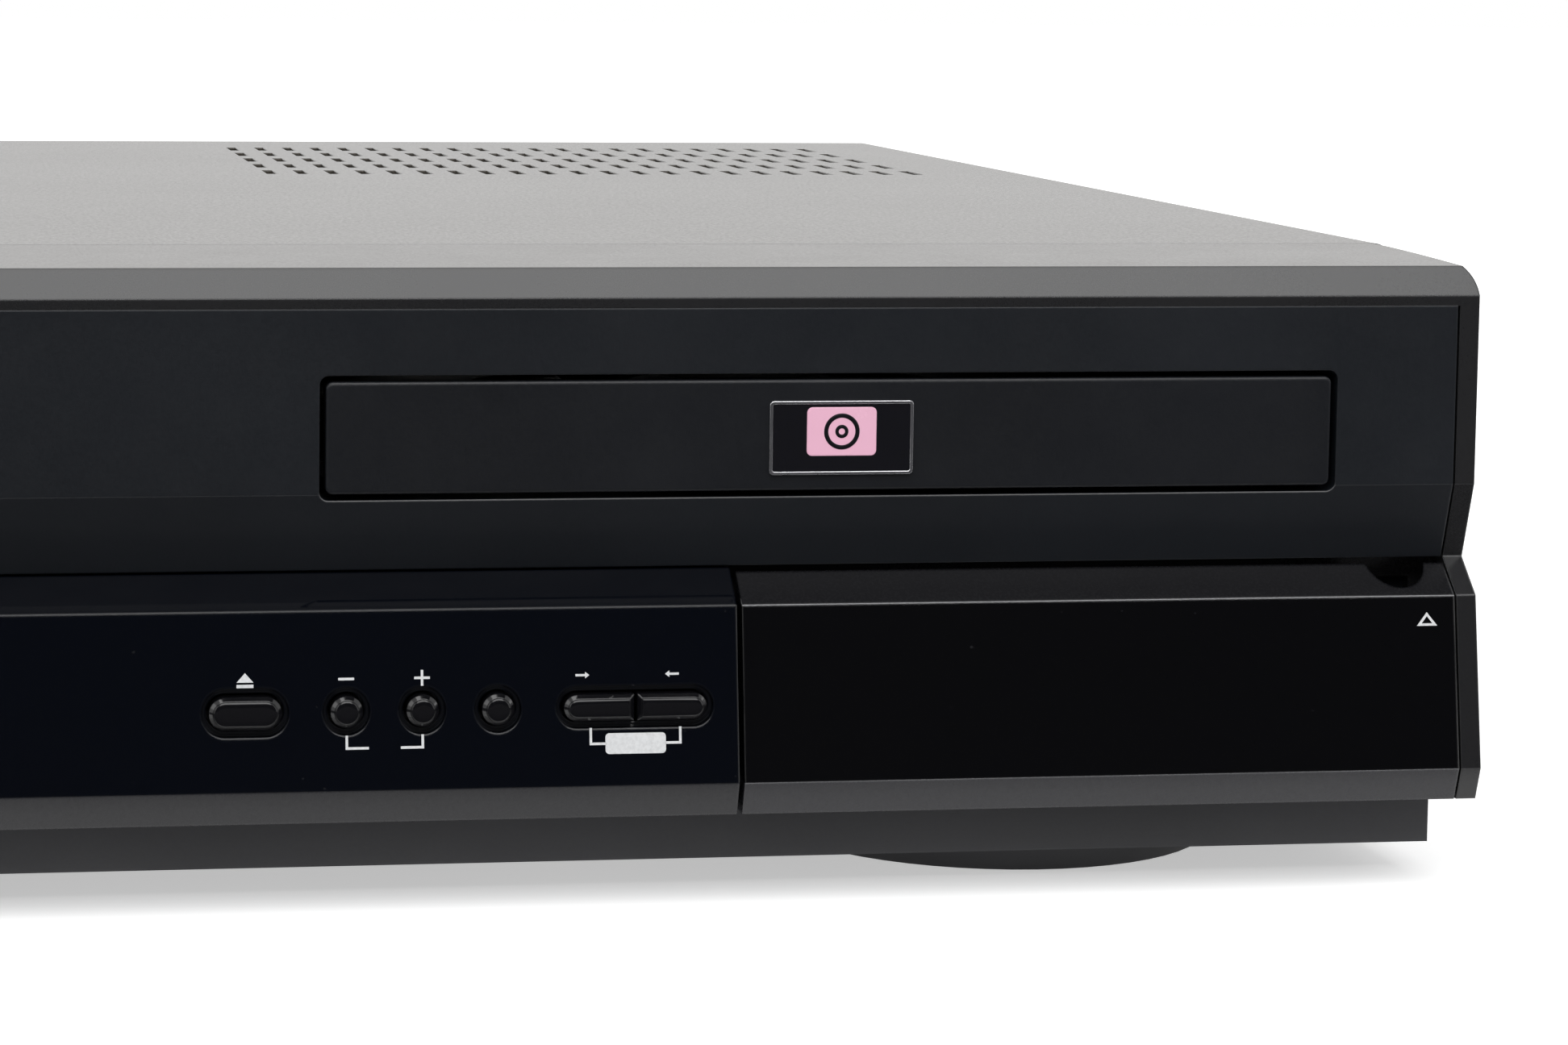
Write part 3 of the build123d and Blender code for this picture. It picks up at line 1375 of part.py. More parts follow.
def fan_frame():
    """The square fan housing with its motor spider."""
    y0, y1 = panel_y - fan_thickness, panel_y
    half = fan_size / 2
    frame = block(fan_x - half, fan_x + half, y0, y1, fan_z - half, fan_z + half)
    frame -= bar_y(fan_x, fan_z, y0 - 1, y1 + 1, half - fan_rim)
    spider = bar_y(fan_x, fan_z, y1 - 2.4, y1, 11.0)
    spider += block(fan_x - half + 1, fan_x + half - 1, y1 - 2.4, y1, fan_z - 1.4, fan_z + 1.4)
    spider += block(fan_x - 1.4, fan_x + 1.4, y1 - 2.4, y1, fan_z - half + 1, fan_z + half - 1)
    frame += spider + bar_y(fan_x, fan_z, y0 + 3, y1 - 1, 1.5)
    for side in (-1, 1):
        x = fan_x + side * (half - 5)
        frame += block(x - 4, x + 4, y1 - 6, y1, pan_top, fan_z - half + 1)
    return frame


def fan_rotor():
    """The fan's hub and its pitched blades."""
    y0, y1 = panel_y - fan_thickness + 1, panel_y - 2.4 - turning_gap
    hub = bar_y(fan_x, fan_z, y0, y1, 10.5)
    middle = (y0 + y1) / 2
    reach = fan_size / 2 - fan_rim - 0.8
    for number in range(fan_blades):
        blade = Pos(0, 0, (reach + 9.5) / 2) * Rot(0, 0, 38) * Box(11.0, 1.2, reach - 9.5)
        trimmed = Pos(fan_x, middle, fan_z) * Rot(0, 360.0 / fan_blades * number, 0) * blade
        hub += trimmed
    return hub - bar_y(fan_x, fan_z, y0 + 1.6, y1 + 1, 1.5 + shaft_gap)


def feet():
    """Four round feet, each a rim round a shallow dish."""
    places = [(side * (half_width - foot_side_inset), y) for side in (-1, 1)
              for y in (face_y + foot_front_setback, rear_y - foot_rear_setback)]
    pieces = []
    for x, y in places:
        foot = Pos(x, y, foot_height / 2) * Cone(foot_radius - 1.6, foot_radius, foot_height)
        foot -= post(x, y, -1, 1.2, foot_radius - 1.6 - foot_rim)
        pieces.append(one(foot))
    return Compound(children=pieces)


def cover_screws():
    return Compound(children=[one(screw(*place, screw_shank_radius, screw_head_height))
                              for place in screw_places()])


# ---------------------------------------------------------------- writing the pieces
pieces = {
    "base_chassis": base_chassis,
    "top_cover": top_cover,
    "rear_panel": rear_panel,
    "front_bezel": front_bezel,
    "upper_fascia": upper_fascia,
    "control_window": control_window,
    "feet": feet,
    "cover_screws": cover_screws,
    "connector_flap": connector_flap,
    "jack_plate": jack_plate,
    "front_rca_jacks": front_rca_jacks,
    "front_svideo_socket": front_svideo_socket,
    "front_usb_socket": front_usb_socket,
    "front_dv_socket": front_dv_socket,
    "key_board": key_board,
    "display_module": display_module,
    "cassette_door": cassette_door,
    "cassette_holder": cassette_holder,
    "deck_plate": deck_plate,
    "lower_drum": lower_drum,
    "upper_drum": upper_drum,
    "capstan": capstan,
    "supply_reel": lambda: reel_table(-1),
    "takeup_reel": lambda: reel_table(1),
    "pinch_arm": pinch_arm,
    "pinch_roller": pinch_roller,
    "tape_guides": tape_guides,
    "loading_motor": loading_motor,
    "loader_chassis": loader_chassis,
    "disc_tray": disc_tray,
    "tray_door": tray_door,
    "drive_gear": drive_gear,
    "pulley_gear": pulley_gear,
    "tray_motor": tray_motor,
    "traverse_frame": traverse_frame,
    "guide_rods": guide_rods,
    "turntable": turntable,
    "laser_sled": laser_sled,
    "sled_gear": sled_gear,
    "clamp_bridge": clamp_bridge,
    "clamper": clamper,
    "main_board": main_board,
    "power_board": power_board,
    "tuner": tuner,
    "rear_rca_jacks": rear_rca_jacks,
    "scart_sockets": scart_sockets,
    "mains_inlet": mains_inlet,
    "fan_frame": fan_frame,
    "fan_rotor": fan_rotor,
}

os.makedirs("parts", exist_ok=True)
for name, make in pieces.items():
    export_step(one(make()), f"parts/{name}.step")
for name, (x, outline, stem_shift) in keys.items():
    export_step(one(button(x, outline, stem_shift)), f"parts/{name}.step")
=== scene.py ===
import json
import math

import bmesh
import bpy
from mathutils import Matrix, Vector


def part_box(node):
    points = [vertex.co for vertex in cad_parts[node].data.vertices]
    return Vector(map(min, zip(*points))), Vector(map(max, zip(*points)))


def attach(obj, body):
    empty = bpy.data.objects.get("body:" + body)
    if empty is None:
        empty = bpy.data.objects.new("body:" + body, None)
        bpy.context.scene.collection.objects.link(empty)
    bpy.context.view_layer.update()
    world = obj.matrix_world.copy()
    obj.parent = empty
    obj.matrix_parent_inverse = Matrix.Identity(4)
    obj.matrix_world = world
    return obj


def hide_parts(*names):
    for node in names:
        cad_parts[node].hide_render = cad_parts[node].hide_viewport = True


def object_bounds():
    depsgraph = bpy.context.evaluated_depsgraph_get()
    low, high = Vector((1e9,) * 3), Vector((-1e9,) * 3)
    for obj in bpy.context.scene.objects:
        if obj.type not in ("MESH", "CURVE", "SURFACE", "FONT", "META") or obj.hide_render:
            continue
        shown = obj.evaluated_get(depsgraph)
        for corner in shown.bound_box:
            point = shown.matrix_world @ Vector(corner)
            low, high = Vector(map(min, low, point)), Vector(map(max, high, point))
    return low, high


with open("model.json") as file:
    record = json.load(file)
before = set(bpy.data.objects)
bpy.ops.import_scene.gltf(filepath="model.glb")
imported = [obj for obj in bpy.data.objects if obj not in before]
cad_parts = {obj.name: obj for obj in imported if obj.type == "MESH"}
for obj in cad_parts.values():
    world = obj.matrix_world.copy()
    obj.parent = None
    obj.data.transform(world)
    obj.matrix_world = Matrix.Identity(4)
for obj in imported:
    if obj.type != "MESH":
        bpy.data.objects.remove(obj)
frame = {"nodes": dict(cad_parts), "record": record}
case_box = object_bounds()

bl_info = {
    "name": "Disc and cassette recorder",
    "version": (1, 0, 0),
    "blender": (4, 5, 0),
    "location": "View3D > Sidebar > Recorder",
    "description": "Finishes, printed marks, badge, socket inserts and studio for the recorder",
    "category": "Object",
}

MM = 0.001
NODES = frame["nodes"]


def colour(name, text, default):
    """A colour that the user can change."""
    return bpy.props.FloatVectorProperty(name=name, description=text, subtype="COLOR", size=3,
                                         min=0.0, max=1.0, default=default)


def length(name, text, millimetres):
    """A length that the user can change, kept in metres."""
    return bpy.props.FloatProperty(name=name, description=text, subtype="DISTANCE", unit="LENGTH",
                                   precision=5, default=millimetres * MM)


def measure(name, text, subtype, unit, default):
    """A number with a unit of its own that the user can change."""
    return bpy.props.FloatProperty(name=name, description=text, subtype=subtype, unit=unit,
                                   default=default)


# ---- what a user would change
class RecorderColours(bpy.types.PropertyGroup):
    """Colours of the paints, mouldings, prints and metals."""
    cover: colour("Cover paint", "Speckled paint of the folded cover", (0.062, 0.055, 0.046))
    pan: colour("Pan paint", "Paint of the base pan and its skirt", (0.031, 0.031, 0.035))
    zinc: colour("Zinc steel", "Plated sheet of the rear panel and deck", (0.52, 0.53, 0.54))
    bezel: colour("Front moulding", "Satin of the strip and cheeks", (0.014, 0.014, 0.015))
    fascia: colour("Upper panel", "Satin panel round the tray", (0.0088, 0.0106, 0.0140))
    tray_front: colour("Tray front", "Moulded front of the disc tray", (0.0068, 0.0078, 0.0104))
    window: colour("Control window", "Blue-black gloss of the window", (0.0016, 0.0022, 0.0042))
    flap: colour("Flap", "Gloss black of the drop flap", (0.0022, 0.0022, 0.0027))
    toe: colour("Toe", "Satin black of the front's lower bevel", (0.025, 0.025, 0.029))
    keys: colour("Keys", "Gloss black of the keys", (0.004, 0.004, 0.005))
    marks: colour("Printed marks", "White print beside the keys", (0.72, 0.73, 0.74))
    silver: colour("Badge frame", "Silver edge of the badge", (0.62, 0.62, 0.64))
    rose: colour("Badge field", "Rose field of the badge", (0.82, 0.46, 0.60))
    foot: colour("Feet", "Plastic of the feet", (0.040, 0.040, 0.044))
    board: colour("Circuit boards", "Solder mask of the boards", (0.015, 0.105, 0.040))
    loader: colour("Loader", "Moulded frame and tray of the disc loader", (0.020, 0.020, 0.021))
    gears: colour("Gears", "Natural acetal of the gears and clamper", (0.70, 0.69, 0.64))
    reels: colour("Reel tables", "Grey acetal of the reel tables", (0.42, 0.43, 0.44))
    video_jack: colour("Video socket", "Insert of the picture socket", (0.75, 0.52, 0.03))
    left_jack: colour("Left socket", "Insert of the left sound socket", (0.72, 0.72, 0.70))
    right_jack: colour("Right socket", "Insert of the right sound socket", (0.55, 0.03, 0.03))


class RecorderSizes(bpy.types.PropertyGroup):
    """Sizes of the marks, the badge, the screws and the socket inserts."""
    gloss_bottom: length("Gloss bottom", "Where the lower front turns glossy", 16.5)
    gloss_top: length("Gloss top", "Where the gloss of the flap ends", 38.6)
    # A painted shade line lies just below this height on the front moulding.
    crest: length("Crest", "From where the moulding has the cover's tone", 81.1)
    # The cover's painted seam shade lies at this depth.
    seam: length("Seam", "How far back the cover meets the front strip", 33.2)
    # The painted highlight on the upper panel's up-turned edges stops below this height.
    lip: length("Lip", "Up to where the upper panel's edges shine", 56.0)
    print_height: length("Print height", "How far a print stands on its panel", 0.03)
    stroke: length("Stroke", "Width of a printed line", 0.32)
    key_row: length("Key row", "Height of the middle of the keys", 26.2)
    mark_rise: length("Mark rise", "From the keys up to the marks above them", 4.0)
    power_rise: length("Power rise", "How much higher the power sign stands", 2.0)
    label_drop: length("Label drop", "From the keys down to the marks below them", 4.5)
    symbol: length("Symbol", "Width of a key's symbol", 2.1)
    disc_arrow: length("Disc arrow", "How far left of its key it stands", 1.5)
    tape_arrow: length("Tape arrow", "How far left of its key it stands", 0.4)
    pair_bracket: length("Pair bracket", "Rise of the lines between the channel keys", 1.6)
    label_bracket: length("Label bracket", "Rise of the lines beside the label plate", 2.0)
    label_reach: length("Label reach", "From the plate's middle to its corner lines", 5.7)
    label_width: length("Label width", "Width of the label plate", 7.7)
    label_height: length("Label height", "Height of the label plate", 2.6)
    flap_mark_inset: length("Flap mark inset", "From the flap's right end to its mark", 3.8)
    flap_mark_height: length("Flap mark height", "Height of the flap's mark", 35.5)
    badge_width: length("Badge width", "Width of the badge", 18.6)
    badge_height: length("Badge height", "Height of the badge", 9.4)
    badge_frame: length("Badge frame", "Width of the badge's silver edge", 0.42)
    badge_rise: length("Badge rise", "Thickness of the badge", 0.35)
    badge_right: length("Badge right", "From the tray front's middle to the right", 0.5)
    badge_drop: length("Badge drop", "From the tray front's middle down", 0.35)
    field_width: length("Field width", "Width of the badge's rose field", 9.0)
    field_height: length("Field height", "Height of the badge's rose field", 6.2)
    field_lift: length("Field lift", "From the badge's middle up to the field's", 0.8)
    crown: length("Key crown", "Rise of a crown over its cap", 0.32)
    jack_radius: length("Jack radius", "Radius of a phono socket's sleeve", 4.15)
    jack_bore: length("Jack bore", "Radius of a phono socket's bore", 1.6)
    screw_radius: length("Screw radius", "Radius of a cover screw's head", 3.2)


class RecorderStudio(bpy.types.PropertyGroup):
    """Camera, lamps and floor."""
    camera_place: bpy.props.FloatVectorProperty(
        name="Camera place", description="Where the camera stands", subtype="XYZ", unit="LENGTH", size=3,
        default=(17.9 * MM, -655.9 * MM, 118.5 * MM))
    yaw: measure("Yaw", "Camera turned towards +X", "ANGLE", "ROTATION", math.radians(8.10))
    pitch: measure("Pitch", "Camera tipped down", "ANGLE", "ROTATION", math.radians(5.06))
    roll: measure("Roll", "Camera rolled clockwise", "ANGLE", "ROTATION", math.radians(-0.51))
    lens: measure("Lens", "Focal length in millimetres", "DISTANCE_CAMERA", "CAMERA", 91.07)
    shift_x: measure("Shift across", "Sideways lens shift", "NONE", "NONE", 0.18)
    shift_y: measure("Shift up", "Upward lens shift", "NONE", "NONE", -0.13)
    overhead: measure("Overhead box", "Power of the overhead soft box", "POWER", "POWER", 26.0)
    side: measure("Side box", "Power of each side soft box", "POWER", "POWER", 3.0)
    room: measure("Room light", "Strength of the light from all sides", "FACTOR", "NONE", 0.36)
    floor_light: measure("Floor glow", "What lifts the floor to white", "FACTOR", "NONE", 0.48)
    floor_size: measure("Floor size", "Side of the floor", "DISTANCE", "LENGTH", 16.0)


# ---- node helpers
BEVEL_SAMPLES = 6
NOISE_LOW, NOISE_HIGH = 0.3, 0.7


class Nodes:
    """A node tree under construction."""

    def __init__(self, tree):
        self.tree = tree
        tree.nodes.clear()

    def add(self, kind, **inputs):
        """A node with sockets set to values or linked to other sockets; _ stands for a space."""
        node = self.tree.nodes.new(kind)
        for name, value in inputs.items():
            self.set(node.inputs[name.replace("_", " ")], value)
        return node

    def set(self, socket, value):
        if isinstance(value, bpy.types.NodeSocket):
            self.tree.links.new(value, socket)
        else:
            socket.default_value = value

    def span(self, value, low, high, to_low, to_high):
        """value from low to high carried to the range from to_low to to_high, and clamped there."""
        node = self.add("ShaderNodeMapRange")
        for socket, given in zip(node.inputs[:5], (value, low, high, to_low, to_high)):
            self.set(socket, given)
        return node.outputs["Result"]

    def rises(self, value, low, high, top=1.0):
        """0 while value is below low, top when it is above high."""
        return self.span(value, low, high, 0.0, top)

    def falls(self, value, low, high):
        """1 while value is below low, 0 when it is above high."""
        return self.span(value, low, high, 1.0, 0.0)

    def vary(self, noise, middle, swing):
        """A value that a noise moves to either side of its middle."""
        return self.span(noise, NOISE_LOW, NOISE_HIGH, middle - swing, middle + swing)

    def math(self, operation, first, second):
        node = self.add("ShaderNodeMath")
        node.operation = operation
        self.set(node.inputs[0], first)
        self.set(node.inputs[1], second)
        return node.outputs[0]

    def plus(self, first, second):
        return self.math("ADD", first, second)

    def times(self, first, second):
        return self.math("MULTIPLY", first, second)

    def seen_directly(self):
        """1 for rays from the camera, a reflection or through glass, 0 for light on a surface."""
        path = self.add("ShaderNodeLightPath").outputs
        shown = self.math("MAXIMUM", path["Is Camera Ray"], path["Is Glossy Ray"])
        return self.math("MAXIMUM", shown, path["Is Transmission Ray"])


class Finish(Nodes):
    """A material under construction: its tree, its shader and its place on the object."""

    def __init__(self, name, shader="ShaderNodeBsdfPrincipled"):
        self.material = bpy.data.materials.new(name)
        self.material.use_nodes = True
        super().__init__(self.material.node_tree)
        self.shader = self.add(shader)
        self.output = self.add("ShaderNodeOutputMaterial", Surface=self.shader.outputs["BSDF"])
        self.place = self.add("ShaderNodeTexCoord").outputs["Object"]

    def along(self, axis, vector=None):
        """One part of a vector, or else of the place on the object."""
        return self.add("ShaderNodeSeparateXYZ", Vector=vector or self.place).outputs[axis]

    def noise(self, scale, detail=3.0, roughness=0.5):
        return self.add("ShaderNodeTexNoise", Vector=self.place, Scale=scale, Detail=detail,
                        Roughness=roughness).outputs["Fac"]

    def cells(self, scale, feature="F1"):
        node = self.add("ShaderNodeTexVoronoi", Vector=self.place)
        node.feature = feature
        self.set(node.inputs["Scale"], scale)
        return node.outputs

    def blend(self, factor, first, second):
        """A colour between two colours."""
        node = self.add("ShaderNodeMix")
        node.data_type = "RGBA"
        self.set(node.inputs["Factor"], factor)
        for socket, given in ((node.inputs[6], first), (node.inputs[7], second)):
            self.set(socket, given if isinstance(given, bpy.types.NodeSocket) else (*given[:3], 1.0))
        return node.outputs[2]

    def toned(self, factor, rgb, low, high):
        """A colour scaled by low where factor is 0 and by high where it is 1."""
        return self.blend(factor, scaled(rgb, low), scaled(rgb, high))

    def rounded(self, radius):
        """The surface's normal with its edges rounded."""
        node = self.add("ShaderNodeBevel", Radius=radius)
        node.samples = BEVEL_SAMPLES
        return node.outputs["Normal"]

    def lit_edge(self, radius, strength):
        """How far an edge's rounding turns upwards, which is where a painted highlight stands in for the
        light from above.
        """
        turned = self.along("Z", self.rounded(radius))
        level = self.along("Z", self.add("ShaderNodeNewGeometry").outputs["True Normal"])
        return self.rises(self.math("SUBTRACT", turned, level), 0.08, 0.55, strength)

    def bump(self, height, distance, strength, rounding=0.0):
        """A normal bent by a height, over edges with a rounding if there is one."""
        node = self.add("ShaderNodeBump", Height=height, Distance=distance, Strength=strength)
        if rounding:
            self.set(node.inputs["Normal"], self.rounded(rounding))
        return node.outputs["Normal"]

    def paint(self, base, roughness, normal=None, **others):
        """Sets or links the shader's sockets."""
        others["Roughness"] = roughness
        others["Base Color"] = base if isinstance(base, bpy.types.NodeSocket) else (*base[:3], 1.0)
        if normal is not None:
            others["Normal"] = normal
        for name, value in others.items():
            self.set(self.shader.inputs[name.replace("_", " ")], value)
        return self.material


def scaled(rgb, factor):
    """A colour made lighter or darker."""
    return [min(1.0, part * factor) for part in rgb]


# ---- the finishes
# Colour painted onto up-turned moulded edges as a highlight from the light above.
PAINTED_EDGE_HIGHLIGHT = (0.20, 0.20, 0.205)
# Colour painted onto up-turned lacquered edges as a highlight from the light above.
PAINTED_LACQUER_HIGHLIGHT = (0.60, 0.60, 0.62)
# Dark colour painted as shade along the crease under the strip and at the cover's seam.
PAINTED_SHADE_LINE = (0.008, 0.007, 0.007)
WARM_SHEEN = (1.0, 0.97, 0.935, 1.0)
MOULD_ROUNDING, LACQUER_ROUNDING, PAINT_ROUNDING = 0.35 * MM, 0.45 * MM, 0.5 * MM
SPARK_GRAIN = 2600.0
EVERYWHERE = 1.0


def moulded(name, rgb, roughness, grain=SPARK_GRAIN, depth=0.03 * MM, spread=0.14, specular=0.5,
            polish=0.0, edge_highlight_below=EVERYWHERE, crest=None, smears=0.045):
    """Spark-textured moulded plastic: fine grain, slow drift of tone and handled patches."""
    coat = Finish(name)
    drift, handled = coat.noise(26.0, 2.0), coat.noise(75.0, 5.0, 0.65)
    grains = coat.noise(grain, 4.0, 0.6)
    tone = coat.plus(coat.times(drift, 0.6), coat.times(grains, 0.4))
    base = coat.toned(coat.rises(tone, 0.35, 0.65), rgb, 1 - spread, 1 + spread)
    if crest:
        height, (level, over) = coat.along("Z"), crest
        # Painted shade: a dark line just below the crest, standing for the shade in the crease between the
        # strip and the bevel.
        painted_crease_shade = coat.rises(height, level - 0.35 * MM, level - 0.3 * MM, 0.8)
        base = coat.blend(painted_crease_shade, base, PAINTED_SHADE_LINE)
        base = coat.blend(coat.rises(height, level - 0.05 * MM, level), base, over)
    # Painted highlight: edges whose rounding turns upwards are lightened, as if lit from above, up to a
    # given height.
    if polish:
        low = coat.falls(coat.along("Z"), edge_highlight_below - MM, edge_highlight_below)
        lit = coat.times(coat.lit_edge(MOULD_ROUNDING, polish), low)
        base = coat.blend(lit, base, PAINTED_EDGE_HIGHLIGHT)
    rough = coat.plus(coat.vary(handled, roughness, smears), coat.vary(grains, 0.0, 0.03))
    return coat.paint(base, rough, coat.bump(grains, depth, 0.5, MOULD_ROUNDING),
                      Specular_IOR_Level=specular)


def speckled_paint(name, rgb, roughness, seam):
    """Baked texture paint on sheet steel, specked, with orange peel and painted shade along its front hem,
    where the cover meets the strip.
    """
    coat = Finish(name)
    # Painted shade: the front hem is darkened and loses its reflection, standing for the shade in the seam.
    hem = coat.falls(coat.along("Y"), seam, seam + 0.4 * MM)
    specks, mottle = coat.noise(1900.0, 2.0, 0.7), coat.noise(14.0, 2.0, 0.5)
    base = coat.toned(coat.rises(specks, 0.38, 0.64), rgb, 0.70, 1.4)
    peel = coat.plus(coat.times(coat.noise(1300.0, 3.0, 0.6), 0.6), coat.times(specks, 0.4))
    rough = coat.plus(coat.vary(mottle, roughness, 0.005),
                      coat.span(specks, 0.35, 0.65, 0.03, -0.03))
    normal = coat.bump(peel, 0.03 * MM, 0.4, PAINT_ROUNDING)
    return coat.paint(coat.blend(hem, base, PAINTED_SHADE_LINE), rough, normal, Specular_Tint=WARM_SHEEN,
                      Specular_IOR_Level=coat.span(hem, 0.0, 1.0, 0.5, 0.0))


def gloss_front(name, gloss, satin, low, high, shelf, edge):
    """A lacquered front: gloss between two heights, satin beyond them with painted shade above the upper
    height, duller from the shelf up, and a painted highlight on up-turned edges below the shelf.
    """
    coat = Finish(name)
    height, line = coat.along("Z"), 0.08 * MM
    polish = coat.times(coat.rises(height, low - line, low + line),
                        coat.falls(height, high - line, high + line))
    smear, grains = coat.noise(38.0, 5.0, 0.6), coat.noise(SPARK_GRAIN, 4.0, 0.6)
    dust = coat.rises(coat.noise(900.0, 2.0, 0.5), 0.74, 0.80)
    lacquer = coat.blend(coat.times(dust, 0.25), gloss, scaled(satin, 1.6))
    # Painted shade: above the upper height the satin is darkened to 0.3 of its colour, standing for the
    # dark reflection on the flap's shelf.
    ledge = coat.toned(coat.rises(height, high, high + 0.1 * MM), satin, 1.0, 0.3)
    matte = coat.blend(coat.rises(grains, 0.35, 0.65, 0.3), ledge, scaled(satin, 0.4))
    shine = coat.plus(coat.span(smear, 0.35, 0.75, 0.045, 0.10), coat.times(dust, 0.2))
    rough = coat.span(polish, 0.0, 1.0, coat.vary(grains, 0.27, 0.03), shine)
    # Painted highlight: up-turned edges below the shelf are lightened, as if lit from above; strong on the
    # flap, faint on the window.
    brow = coat.falls(height, shelf + 0.3 * MM, shelf + 0.8 * MM)
    lit = coat.times(coat.lit_edge(LACQUER_ROUNDING, edge), brow)
    normal = coat.bump(coat.noise(150.0, 2.0), 0.004 * MM, 0.2, LACQUER_ROUNDING)
    specular = coat.span(height, shelf - 0.1 * MM, shelf + 0.1 * MM, 0.5, 0.13)
    return coat.paint(coat.blend(lit, coat.blend(polish, matte, lacquer), PAINTED_LACQUER_HIGHLIGHT), rough,
                      normal, Specular_IOR_Level=specular)


def lacquered(name, rgb, roughness=0.08):
    """Gloss plastic with faint finger smears and specks of dust."""
    coat = Finish(name)
    smear = coat.noise(160.0, 5.0, 0.65)
    dust = coat.rises(coat.noise(1100.0, 2.0), 0.72, 0.79, 0.3)
    rough = coat.plus(coat.span(smear, 0.35, 0.7, roughness * 0.6, roughness * 1.6), dust)
    return coat.paint(coat.toned(dust, rgb, 1.0, 5.0), rough,
                      coat.bump(coat.noise(260.0, 2.0), 0.004 * MM, 0.2, 0.25 * MM))


def plated_sheet(name, rgb):
    """Zinc-plated sheet: spangle, a drawn grain and small stains."""
    coat = Finish(name)
    tone = coat.add("ShaderNodeSeparateColor", Color=coat.cells(170.0)["Color"]).outputs[0]
    stains = coat.noise(45.0, 5.0, 0.6)
    base = coat.toned(coat.rises(tone, 0.0, 1.0), rgb, 0.86, 1.08)
    base = coat.blend(coat.rises(stains, 0.55, 0.8, 0.4), base, scaled(rgb, 0.7))
    rough = coat.plus(coat.span(tone, 0.0, 1.0, 0.28, 0.38), coat.rises(stains, 0.5, 0.8, 0.12))
    return coat.paint(base, rough, coat.bump(coat.noise(700.0, 3.0), 0.01 * MM, 0.3, 0.2 * MM),
                      Metallic=1.0)


def turned_metal(name, rgb, roughness, grooves=1.0):
    """Machined metal with fine tool lines and a little tarnish."""
    coat = Finish(name)
    stretched = coat.add("ShaderNodeMapping", Vector=coat.place, Scale=(1.0, 1.0, grooves))
    lines = coat.add("ShaderNodeTexNoise", Vector=stretched.outputs["Vector"], Scale=120.0,
                     Detail=2.0).outputs["Fac"]
    tarnish = coat.noise(90.0, 4.0)
    rough = coat.plus(coat.vary(lines, roughness, 0.06), coat.rises(tarnish, 0.4, 0.8, 0.08))
    return coat.paint(coat.toned(coat.rises(tarnish, 0.4, 0.75, 0.5), rgb, 1.0, 0.8), rough,
                      coat.bump(lines, 0.006 * MM, 0.35, 0.15 * MM), Metallic=1.0)


def circuit_board(name, rgb):
    """Green solder mask over copper tracks, with tinned pads."""
    coat = Finish(name)
    copper = coat.falls(coat.cells(210.0, "DISTANCE_TO_EDGE")["Distance"], 0.05, 0.09)
    pads = coat.falls(coat.cells(420.0)["Distance"], 0.16, 0.20)
    base = coat.toned(coat.times(copper, 0.6), rgb, 1.0, 2.4)
    return coat.paint(coat.blend(pads, base, (0.62, 0.62, 0.58)),
                      coat.span(pads, 0.0, 1.0, 0.36, 0.28), coat.bump(copper, 0.03 * MM, 0.6))


def rubbery(name, rgb):
    """Ground rubber with a powdery, worn surface."""
    coat = Finish(name)
    powder = coat.noise(900.0, 4.0, 0.7)
    return coat.paint(coat.toned(coat.rises(powder, 0.4, 0.7), rgb, 1.0, 1.8),
                      coat.vary(powder, 0.775, 0.075), coat.bump(powder, 0.04 * MM, 0.5))


def ink(name, rgb):
    """Screen-printed ink with a slightly uneven film."""
    coat = Finish(name)
    film = coat.noise(2200.0, 3.0, 0.6)
    return coat.paint(coat.toned(coat.rises(film, 0.4, 0.7), rgb, 1.0, 0.84),
                      coat.vary(film, 0.45, 0.07), coat.bump(film, 0.005 * MM, 0.3))


JACK_COLOURS = ("video_jack", "left_jack", "right_jack")
FINISH_NAMES = {}


